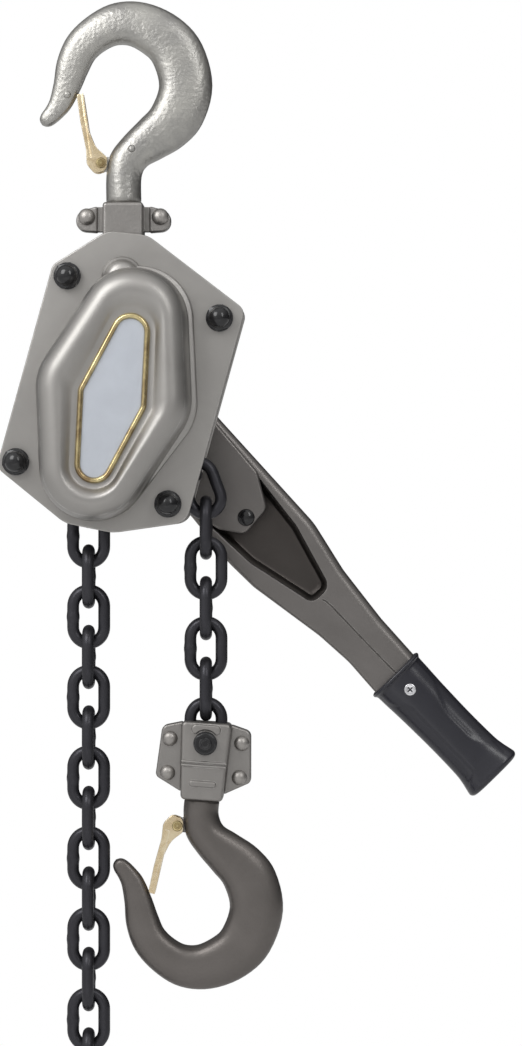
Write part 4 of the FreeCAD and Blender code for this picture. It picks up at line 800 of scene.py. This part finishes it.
def link_tree():
    tree, given = geometry_tree("chain_run", [
        ("Wire", "Float", 0.009), ("Bend Radius", "Float", 0.0117), ("Length", "Float", 0.0397),
        ("Weld", "Float", 0.09)])
    bend = given["Bend Radius"]
    outline = add(tree, "GeometryNodeCurvePrimitiveQuadrilateral", {
        "Width": calc(tree, "MULTIPLY", bend, 2.0), "Height": given["Length"]})
    bent = add(tree, "GeometryNodeFilletCurve", {"Curve": outline, "Count": 9, "Radius": bend}, mode="POLY")
    even = add(tree, "GeometryNodeResampleCurve", {"Curve": bent, "Count": 60})
    at = add(tree, "ShaderNodeSeparateXYZ", {0: add(tree, "GeometryNodeInputPosition")}).outputs
    near = mapped(tree, calc(tree, "ABSOLUTE", at["Y"]), 0.0012, 0.0036, 1.0, 0.0)
    weld = calc(tree, "MULTIPLY", near, calc(tree, "GREATER_THAN", at["X"], 0.0))
    swell = calc(tree, "MULTIPLY_ADD", weld, given["Weld"], 1.0)
    sized = add(tree, "GeometryNodeSetCurveRadius", {"Curve": even, "Radius": swell})
    wire = add(tree, "GeometryNodeCurvePrimitiveCircle", {
        "Resolution": 18, "Radius": calc(tree, "MULTIPLY", given["Wire"], 0.5)}, mode="RADIUS")
    swept = add(tree, "GeometryNodeCurveToMesh", {"Curve": sized, "Profile Curve": wire})
    if "Scale" in swept.inputs:
        tree.links.new(swell.outputs[0], swept.inputs["Scale"])
    return realise(tree, given, add(tree, "GeometryNodeTransform", {
        "Geometry": swept, "Rotation": Euler((math.pi / 2, 0, 0))}))


def links(start, end, count, first_edge_on):
    """Places of links on the straight line between two hinge points: a cross link spans more of it."""
    dx, dz = end[0] - start[0], end[1] - start[1]
    lean = Matrix.Rotation(math.atan2(dx, dz), 4, "Y")
    spots, reach = [], 0.0
    for k in range(count):
        edge_on = (k % 2 == 0) == first_edge_on
        half = HINGE_CROSS if edge_on else HINGE_STAND
        share = (reach + half) / math.hypot(dx, dz)
        middle = Vector((DRIVE[0] + start[0] + dx * share, 0, DRIVE[1] + start[1] + dz * share))
        spots.append(Matrix.Translation(middle * MM) @ lean @ Matrix.Rotation(math.pi / 2 * edge_on, 4, "Z"))
        reach += 2 * half
    return spots


CHAIN = link_tree()
print("link sizes", [item.name for item in CHAIN.interface.items_tree])

# %% [markdown]
# The chain wraps the pocket wheel by four links, leads to each plumb fall by three, and then hangs. Round the
# wheel a cross link turns the chain by 63 degrees and a standing one by 27, a quarter turn for two.

# %% Chain runs
LOAD_BEND, SLACK_BEND, PITCH = (67.8, -78.362), (-20.5, -96.504), 30.3
WHEEL_RADIUS, WHEEL_START, CROSS_TURN = 40.092, -6.0871, 63.1742
RING_RADIUS, RING_WIRE, RING_DROP = 17, 3, 589.25


def hinge(index):
    """A hinge point on the pocket wheel."""
    turn = math.radians(WHEEL_START + 90 * (index // 2) + CROSS_TURN * (index % 2))
    return WHEEL_RADIUS * math.cos(turn), WHEEL_RADIUS * math.sin(turn)


on_wheel = [links(hinge(i), hinge(i + 1), 1, i % 2 == 0)[0] for i in range(4)]
RUNS = [
    ("sheave_chain_links", "sheave", on_wheel),
    ("load_chain_lead", "load_fall", links(hinge(0), LOAD_BEND, 3, False)),
    ("slack_chain_lead", "slack_fall", links(hinge(4), SLACK_BEND, 3, True)),
]
for fall, (x, z), count, edge_on, ends in (("load", LOAD_BEND, 2, True, ("", "_middle", "_end")),
                                           ("slack", SLACK_BEND, 4, False, ("", "_upper", "_lower", "_end"))):
    for n, end in enumerate(ends):
        top = z - n * count * PITCH
        spots = links((x, top), (x, top - count * PITCH), count, edge_on)
        RUNS.append((f"{fall}_chain_{n + 1}", f"{fall}_fall{end}", spots))
for node, body, spots in RUNS:
    run_tree("welded_" + node, CHAIN, spots, {}, "chain_steel", body, [node], angle=60, flat=False)
wire = [(RING_RADIUS + RING_WIRE * c, RING_WIRE * s) for c, s in around(16)]
ring = [[(r * c, y, r * s) for r, y in wire] for c, s in around(56)]
at_chain_end = Matrix.Translation((DRIVE[0] + SLACK_BEND[0], 0, DRIVE[1] - RING_DROP))
piece("slack_end_ring", solid(skin, ring + [ring[0]], at=at_chain_end), UPRIGHT, "chain_steel", "end_ring",
      ["chain_end_ring"], angle=60, flat=False)
print("links", sum(len(s) for _, _, s in RUNS), "in", len(RUNS), "runs")

# %% [markdown]
# Each yoke is two forged halves riveted together: a box in the middle and a thinner ear at either side. A
# half is drawn as slabs measured from the middle plane, and its twin is the same drawing mirrored. The raised
# pad, the double ridge and the bar on the lower yoke stiffen its wall. The hook's neck turns in the box.

# %% Forged yokes
YOKE_DEPTH, PANEL = 17, 16.4
RIDGES = [((17.1, -15.3, -13.3, 0.9), 18.6, 0.95), ((17.0, -18.0, -16.0, 0.9), 18.6, 0.95),
          ((10.2, -32.9, -28.1, 2.3), 18.7, 1.5)]


def yoke_mesh(parts, side):
    """Slabs (outline, near, far, edge, holes) from the middle plane outwards, on one side of it."""
    bm = bmesh.new()
    for outline, near, far, edge, holes in parts:
        slab(bm, outline, -far, -near, edge, 0.0, holes, 4)
    if side > 0:
        bm.transform(Matrix.Scale(-1, 4, (0, 1, 0)))
    return bm


def bar(x, low, high, radius, steps=4):
    return rounded([(-x, high, radius), (-x, low, radius), (x, low, radius), (x, high, radius)], steps)


def ears(corners, steps, thick, edge):
    """An ear drawn from its corners, and its mirror image at the other side."""
    outlines = [rounded([(side * x, z, r) for x, z, r in corners], steps) for side in (1, -1)]
    return [(outline, 0, thick, edge, []) for outline in outlines]


def top_yoke_parts():
    box = rounded([(-15.2, -119.4, 2.8), (-15.2, -191.2, 14.6), (15.2, -191.2, 14.6), (15.2, -119.4, 2.8)], 8)
    ear = [(-19.4, -121.9, 1.4), (-35.6, -126.2, 8.2), (-35.6, -140.6, 7.6), (-19.4, -141.8, 1.4)]
    web = bar(21, -141.2, -122.4, 1, 3)
    parts = [(box, 0, YOKE_DEPTH, 2.4, [circle(0.02, -176.4, 7.05)]), (web, 0, 3.6, 0.6, [])]
    return parts + ears(ear, 7, 6.2, 1.5)


def bottom_yoke_parts(padded):
    box = rounded([(-18.9, 15.6, 3.5), (-15.8, -43, 3.5), (15.8, -43, 3.5), (18.9, 15.6, 3.5)], 6)
    lip = rounded([(-17, -18, 1), (-15.8, -42.8, 3), (15.8, -42.8, 3), (17, -18, 1)])
    ear = [(-17.8, 14.9, 1.5), (-33.4, 10.6, 5.5), (-36, -27.4, 4.6), (-15.2, -38.4, 1.5)]
    parts = [(box, 5, YOKE_DEPTH, 2.6, [circle(0, 0, 5.05)]), (lip, 0, 6, 0.5, [])] + ears(ear, 6, 7, 1.7)
    if padded:
        pad = arc(-7.3, 10.2, 3.8, math.pi / 2, math.pi, 10)
        pad += arc(0, 0, 9.7, math.radians(137), math.radians(-94), 12)
        pad += arc(7.3, 10.2, 3.8, -math.pi / 2, math.pi, 10)
        parts.append((pad, PANEL, 19.0, 1.5, []))
    return parts + [(bar(*drawing), PANEL, far, edge, []) for drawing, far, edge in RIDGES]


for side, label in ((-1, "front"), (1, "rear")):
    piece(f"top_yoke_half_{label}", yoke_mesh(top_yoke_parts(), side), UPRIGHT, "yoke_forging", "upper_yoke",
          [f"top_yoke_{label}"])
    piece(f"bottom_yoke_half_{label}", yoke_mesh(bottom_yoke_parts(side < 0), side), IN_BLOCK, "yoke_forging",
          "lower_block", [f"bottom_yoke_{label}"])
print("yokes", TRIANGLES["bottom_yoke_half_front"])

# %% [markdown]
# The chain's last link hangs on a pin through the lower yoke. It has a turned head at the back and a thin
# flanged nut at the front.

# %% Chain pin and its nut
NUT_FLANGE = [(0, -0.4), (8.7, -0.4), (8.9, 0.2), (8.9, 0.9), (8.5, 1.3), (0, 1.3)]
BLOCK_PIN = [(0, 24.9), (2.2, 24.9), (2.9, 25.5), (4.1, 25.4), (4.8, 24.7), (5.0, 23.8), (5.0, -17),
             (7.8, -17), (8.0, -17.4), (8.0, -20.2), (7.2, -21), (0, -21)]


def pin_nut(bm):
    capped(bm, hexagon_rings(7.5, 0.0, 6.2, 1.6))
    revolve(bm, NUT_FLANGE)


on_yoke = Matrix.Translation((0, -YOKE_DEPTH, 0)) @ TO_FRONT
piece("pin_nut", solid(pin_nut, at=on_yoke), IN_BLOCK, "black_oxide", "lower_block", ["chain_pin_nut"])
piece("pin_through_block", solid(revolve, BLOCK_PIN, 40, at=TO_FRONT), IN_BLOCK, "black_oxide", "lower_block",
      ["chain_pin"])
print("pin and nut", TRIANGLES["pin_through_block"], TRIANGLES["pin_nut"])

# %% [markdown]
# The lever is two pressings: a front plate over the hub and a deep shell whose mouth shows inside it. The
# shell's upper edge is drawn round by 7 mm and its lower edge by 2.6 mm, so the edge radius is a rule along
# the outline. A narrow groove before the grip is the seam where the shell's halves meet.

# %% Pressed lever
LEVER_ARM = [
    (6, 46.4, 0.1), (68, 43, 30), (172.8, 38.9, 60), (214.4, 29.7, 60), (261, 24.3, 60), (298, 22.6, 30),
    (314, 20, 1.5), (314, -16, 1.5), (298, -18.4, 30), (267.3, -16.6, 60), (237, -18.6, 60),
    (175.2, -28.4, 40), (149.6, -29, 40), (101.7, -24.3, 30), (62, -31, 20), (14, -44.6, 0.1),
]
MOUTH = [(18, 36.8, 0.1), (112, 33.5, 20), (165, 27.5, 30), (216, 13, 9), (215, -4.6, 7), (160, -17, 25),
         (100, -19.5, 20), (24, -33.2, 0.1)]
MOUTH_STEPS = [(1.6, 0), (0.7, 0.25), (0.1, 1.0), (-0.3, 2.2), (-1.2, 9), (-2.2, 15), (-4, 18), (-6.4, 18.8)]
SEAM = [(219, 2.6), (222, 3.6), (227, 4.0), (232, 3.9), (262, 3.4), (300, 3.2)]
PAD = [(0, 0, 44), (122, -9, 8), (133.6, -1, 8), (132, 16.4, 8), (112, 27.8, 8)]
LEVER_FACE, LEVER_BACK, BACK_EDGE = 50.1, 71.5, 4
HUB_OUTSIDE, HUB_INSIDE, HUB_BORE = 47, 41, 10.05


def ramp(value, low, high):
    """0 below low and 1 above high, with a soft change between."""
    t = max(0.0, min(1.0, (value - low) / (high - low)))
    return t * t * (3 - 2 * t)


def at_depth(outline, depth):
    return [(x, LEVER_FACE + depth, z) for x, z in outline]


def shell(bm):
    outline = rounded(LEVER_ARM, 8) + arc(0, 0, HUB_OUTSIDE, math.radians(-75), math.radians(-200), 40)
    outward = [Vector(b) - Vector(a) for a, b in zip(outline, grown(outline, 1.0))]
    radii = [2.6 + 4.2 * ramp(z, -4, 12) * ramp(x, 40, 90) for x, z in outline]
    rings = []
    for turn in quarter(6):
        inset, depth = 1 - math.sin(turn), 1 - math.cos(turn)
        rings.append([(x - way.x * r * inset, LEVER_FACE + r * depth, z - way.y * r * inset)
                      for (x, z), way, r in zip(outline, outward, radii)])
    for turn in quarter(5):
        inset, y = BACK_EDGE * (1 - math.cos(turn)), LEVER_BACK - BACK_EDGE * (1 - math.sin(turn))
        rings.append([(x - way.x * inset, y, z - way.y * inset) for (x, z), way in zip(outline, outward)])
    outside = skin(bm, rings)
    mouth = rounded(MOUTH, 8) + arc(0, 0, HUB_INSIDE, math.radians(-57), math.radians(-236), 40)
    inside = skin(bm, [at_depth(grown(mouth, grow), depth) for grow, depth in MOUTH_STEPS])
    ends = (MOUTH_STEPS[-1][1], LEVER_BACK - LEVER_FACE)
    bore = skin(bm, [at_depth(circle(0, 0, HUB_BORE), depth) for depth in ends])
    line = [(x, z + 0.6) for x, z in SEAM] + [(x, z - 0.6) for x, z in reversed(SEAM)]
    groove = skin(bm, [at_depth(line, depth) for depth in (0, 3)])
    for loops in ([groove[1]], [outside[0], inside[0], groove[0]], [inside[-1], bore[0]],
                  [outside[-1], bore[-1]]):
        fill(bm, loops)


bolt_holes = [circle(0, 0, 16.05)] + [circle(x, z, 3.25) for x, z in LEVER_BOLTS]
front_plate = solid(slab, belt(PAD, 0, 14, 6), LEVER_FACE - 2.6, LEVER_FACE - 0.02, 2.3, 0.0, bolt_holes, 6)
piece("pressed_lever_shell", solid(shell), ON_LEVER, "lever_paint", "lever", ["lever_shell"])
piece("pressed_front_plate", front_plate, ON_LEVER, "lever_paint", "lever", ["lever_front_plate"])
print("lever", TRIANGLES["pressed_lever_shell"])

# %% [markdown]
# A few turned and cast solids come from the CAD as they are. A merged copy of each lets light run smoothly
# over its fillets.

# %% Smooth copies of CAD solids


def smooth_copy(node, name, look, body):
    """A merged copy of a CAD solid, for smooth light on its rounded edges."""
    bm = bmesh.new()
    bm.from_mesh(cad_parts[node].data)
    bmesh.ops.remove_doubles(bm, verts=bm.verts, dist=0.000004)
    bmesh.ops.dissolve_degenerate(bm, edges=bm.edges, dist=0.000002)
    dress(in_scene(name, as_mesh(name, bm)), look, body, [node], angle=30)


for node, look, body in (("selector_knob", "black_oxide", "selector"), ("shaft_nut", "black_oxide", "drive"),
                         ("brake_cover", "frame_paint", "frame")):
    smooth_copy(node, node + "_finished", look, body)
print("smooth copies", {k: v for k, v in TRIANGLES.items() if "finished" in k})

# %% [markdown]
# The grip is moulded plastic over the lever's tang: a soft square section that swells at both ends, a flange
# against the steel, and a raised thumb field whose edges end in two slanted shoulders.

# %% Grip
GRIP_LINE = [
    (298, 21.4, 17.5), (298.6, 23.0, 19.1), (299.6, 23.6, 19.7), (300.6, 23.4, 19.5), (301.6, 22.6, 18.4),
    (302.8, 22.0, 17.8), (306, 21.8, 17.6), (312, 21.6, 17.4), (330, 20.8, 16.6), (360, 20.2, 16.0),
    (385, 20.6, 16.2), (394, 21.6, 16.9), (400, 22.9, 17.7), (404.5, 23.8, 18.4), (406.6, 23.0, 17.5),
    (407.7, 21.4, 16.0), (408, 19.8, 14.6),
]
GRIP_Y, GRIP_Z, GRIP_POWER, FIELD_HEIGHT = 60.8, 2.0, 0.7, 0.75


def beside_field(x, z):
    """0 inside the raised field of the grip's face and 1 beside it."""
    if not 303 < x < 400:
        return 0.0
    lower = -17.3 + 10.6 * ramp(x, 309.5, 327) - 11 * ramp(x, 392, 400)
    upper = 20.6 - 10.6 * ramp(x, 317, 350) + 9.4 * ramp(x, 372, 388)
    return max(ramp(lower - z, -0.7, 0.7), ramp(z - upper, -0.7, 0.7))


grip_rings = []
for x, high, deep in curve_through(GRIP_LINE, 9):
    ring = []
    for c, s in around(112):
        z = GRIP_Z + high * squarer(c, GRIP_POWER)
        y = deep * squarer(s, GRIP_POWER)
        y -= math.copysign(FIELD_HEIGHT * beside_field(x, z), y) * ramp(abs(s), 0.15, 0.5)
        ring.append((x, GRIP_Y + y, z))
    grip_rings.append(ring)
piece("moulded_grip", solid(capped, grip_rings), ON_LEVER, "grip_rubber", "lever", ["lever_grip"], angle=50,
      flat=False)
smooth_copy("grip_screw", "cross_screw", "screw_chrome", "lever")
print("grip", TRIANGLES["moulded_grip"])

# %% [markdown]
# The hand wheel at the back is cast: eight finger hollows round its rim. Its rim follows one rule, a circle
# that dips towards the axis between the lobes, so it is skinned from rings of that curve.

# %% Hand wheel
LOBES, RIM_STEPS = 8, 192
WHEEL = [(14, 0, 75), (34.6, 4.0, 75), (36.6, 4.8, 75.4), (37.6, 5, 76.6), (38, 5, 78), (38, 5, 84.5),
         (37.4, 5, 86.2), (36, 4.8, 87.2), (34.0, 4.2, 87.5), (31, 3, 87.3), (28, 1.5, 86.2), (25, 0.4, 85.2),
         (19, 0, 85.0), (16.8, 0, 85.6), (15.4, 0, 87.0), (14, 0, 87.5), (10.05, 0, 87.5), (10.05, 0, 75),
         (14, 0, 75)]
turns = [math.tau * k / RIM_STEPS for k in range(RIM_STEPS)]
dips = [max(0.0, math.cos(LOBES * turn + math.pi)) ** 1.3 for turn in turns]
wheel_rings = [[((radius - depth * dip) * math.cos(turn), y, (radius - depth * dip) * math.sin(turn))
                for turn, dip in zip(turns, dips)] for radius, depth, y in WHEEL]
piece("lobed_hand_wheel", solid(skin, wheel_rings), IN_FRAME, "black_oxide", "drive", ["hand_wheel"],
      angle=50, flat=False)
print("hand wheel", TRIANGLES["lobed_hand_wheel"])

# %% [markdown]
# Gears, shaft, brake and springs stay as CAD solids: they hardly show, and their shapes are exact. Each gets
# the finish of its slot, as its real surface is turned, hobbed or pressed metal.

# %% Finishes of the solids that stay
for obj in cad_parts.values():
    for index, held in enumerate(obj.data.materials):
        look = next((name for name in FINISHES if held and held.name.startswith(name)), "bright_steel")
        obj.material_slots[index].link = "OBJECT"
        obj.material_slots[index].material = FINISHES[look]
print("kept solids", sorted(n for n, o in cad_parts.items() if not o.hide_render)[:8])

# %% [markdown]
# The hoist is photographed on white, hanging before a bright background. The floor is far below it, pale, and
# fades to the same white, so that only the shadow shows. The background's white comes from Light Path, not
# from more light on the steel. Polished metal mirrors the floor too, but only by a third of that white.

# %% Floor
MIRRORED = 0.3
PROFILE = [(0, 0), (0.4, 0), (0.8, 0), (1.5, 0), (2.5, 0), (6, 0), (6, -0.01), (0, -0.01)]


def pale_floor():
    material, tree, shader = new_material("pale_floor")
    shader.inputs["Base Color"].default_value = (0.92, 0.92, 0.92, 1)
    shader.inputs["Roughness"].default_value = 0.7
    reach = add(tree, "ShaderNodeVectorMath", {0: axes(tree)}, operation="LENGTH").outputs["Value"]
    fade = mapped(tree, reach, 0.7, 1.5, 0.4, interpolation_type="SMOOTHSTEP")
    white = add(tree, "ShaderNodeEmission", {"Color": (1, 1, 1, 1), "Strength": 1.0})
    rays = add(tree, "ShaderNodeLightPath").outputs
    mirrored = calc(tree, "MULTIPLY", rays["Is Glossy Ray"], MIRRORED)
    seen = calc(tree, "MAXIMUM", rays["Is Camera Ray"], mirrored)
    seen = calc(tree, "MAXIMUM", seen, rays["Is Transmission Ray"])
    mixed = add(tree, "ShaderNodeMixShader", {0: calc(tree, "MULTIPLY", seen, fade), 1: shader, 2: white})
    output = next(n for n in tree.nodes if n.type == "OUTPUT_MATERIAL")
    tree.links.new(mixed.outputs[0], output.inputs["Surface"])
    return material


floor = in_scene("studio_floor", as_mesh("studio_floor", solid(revolve, PROFILE, 64)))
floor.location = (0.05, 0.0, -0.98)
floor.data.materials.append(pale_floor())
print("floor at", round(floor.location.z, 2))

# %% [markdown]
# The world lights the hoist softly, brighter from the upper left, as a studio does, and dimmer from behind.
# The camera sees it plain white.

# %% World
LIGHT_FROM = (-0.5, -0.2, 0.75)


def studio_world():
    world = bpy.data.worlds.new("studio")
    world.use_nodes = True
    tree = world.node_tree
    tree.nodes.clear()
    way = add(tree, "ShaderNodeTexCoord").outputs["Generated"]
    lift = add(tree, "ShaderNodeVectorMath", {0: way, 1: LIGHT_FROM}, operation="DOT_PRODUCT")
    soft = mapped(tree, lift.outputs["Value"], -0.45, 0.75, 0.16, 0.95, interpolation_type="SMOOTHSTEP")
    back = add(tree, "ShaderNodeSeparateXYZ", {"Vector": way}).outputs["Y"]
    behind = mapped(tree, back, -0.15, 0.7, 1.0, 0.22, interpolation_type="SMOOTHSTEP")
    light, plain = (add(tree, "ShaderNodeBackground", {"Color": (1, 1, 1, 1), "Strength": strength})
                    for strength in (calc(tree, "MULTIPLY", soft, behind), 1.0))
    seen = add(tree, "ShaderNodeLightPath").outputs["Is Camera Ray"]
    mixed = add(tree, "ShaderNodeMixShader", {0: seen, 1: light, 2: plain})
    add(tree, "ShaderNodeOutputWorld", {"Surface": mixed})
    return world


bpy.context.scene.world = studio_world()
print("world", bpy.context.scene.world.name)

# %% [markdown]
# A softbox close by at the upper left draws the long highlights on the rolled ridge and the top hook, and
# fades towards the lower hook. Another fills the right side, and a low strip lifts what faces down.

# %% Lamps


def softbox(name, spot, towards, width, height, power):
    lamp = bpy.data.lights.new(name, "AREA")
    lamp.shape = "RECTANGLE"
    lamp.size, lamp.size_y, lamp.energy = width, height, power
    obj = in_scene(name, lamp)
    obj.location = spot
    obj.rotation_euler = (Vector(towards) - Vector(spot)).to_track_quat("-Z", "Y").to_euler()


softbox("key_softbox", (-0.48, -0.62, 0.28), (-0.03, 0, -0.15), 0.5, 0.6, 4.6)
softbox("right_softbox", (0.9, -1.3, 0.55), (0.05, 0, -0.3), 0.35, 1.0, 5)
softbox("low_bounce", (-0.15, -1.1, -0.93), (0, 0, -0.45), 1.2, 0.3, 0.6)
print("lamps", len(bpy.data.lights))

# %% [markdown]
# The photograph was taken from far away, level with the middle of the hoist and a little to its right: the
# edge of the rear plate just shows. Its frame is 392 by 787 mm at the hoist, which fixes the lens at this
# distance.

# %% Camera
DISTANCE, FRAME_HEIGHT, SENSOR = 3.0, 0.7866, 24.0
CENTRE = Vector((0.1032, 0.0, -0.3599))
TO_RIGHT = math.radians(1.0)

lens = bpy.data.cameras.new("photograph")
lens.sensor_fit = "VERTICAL"
lens.sensor_height = SENSOR
lens.lens = SENSOR * DISTANCE / FRAME_HEIGHT
camera = in_scene("photograph", lens)
camera.location = CENTRE + Vector((math.sin(TO_RIGHT) * DISTANCE, -math.cos(TO_RIGHT) * DISTANCE, 0))
camera.rotation_euler = (math.pi / 2, 0, TO_RIGHT)
bpy.context.scene.camera = camera
bpy.context.scene.view_settings.view_transform = "Standard"
print("camera", tuple(round(v, 3) for v in camera.location))

# %% [markdown]
# Last, the triangles of all pieces are counted: Blender dresses the hoist, it doesn't resize it.

# %% Sizes and the end
print("triangles", sum(TRIANGLES.values()), "largest", max(TRIANGLES.items(), key=lambda item: item[1]))
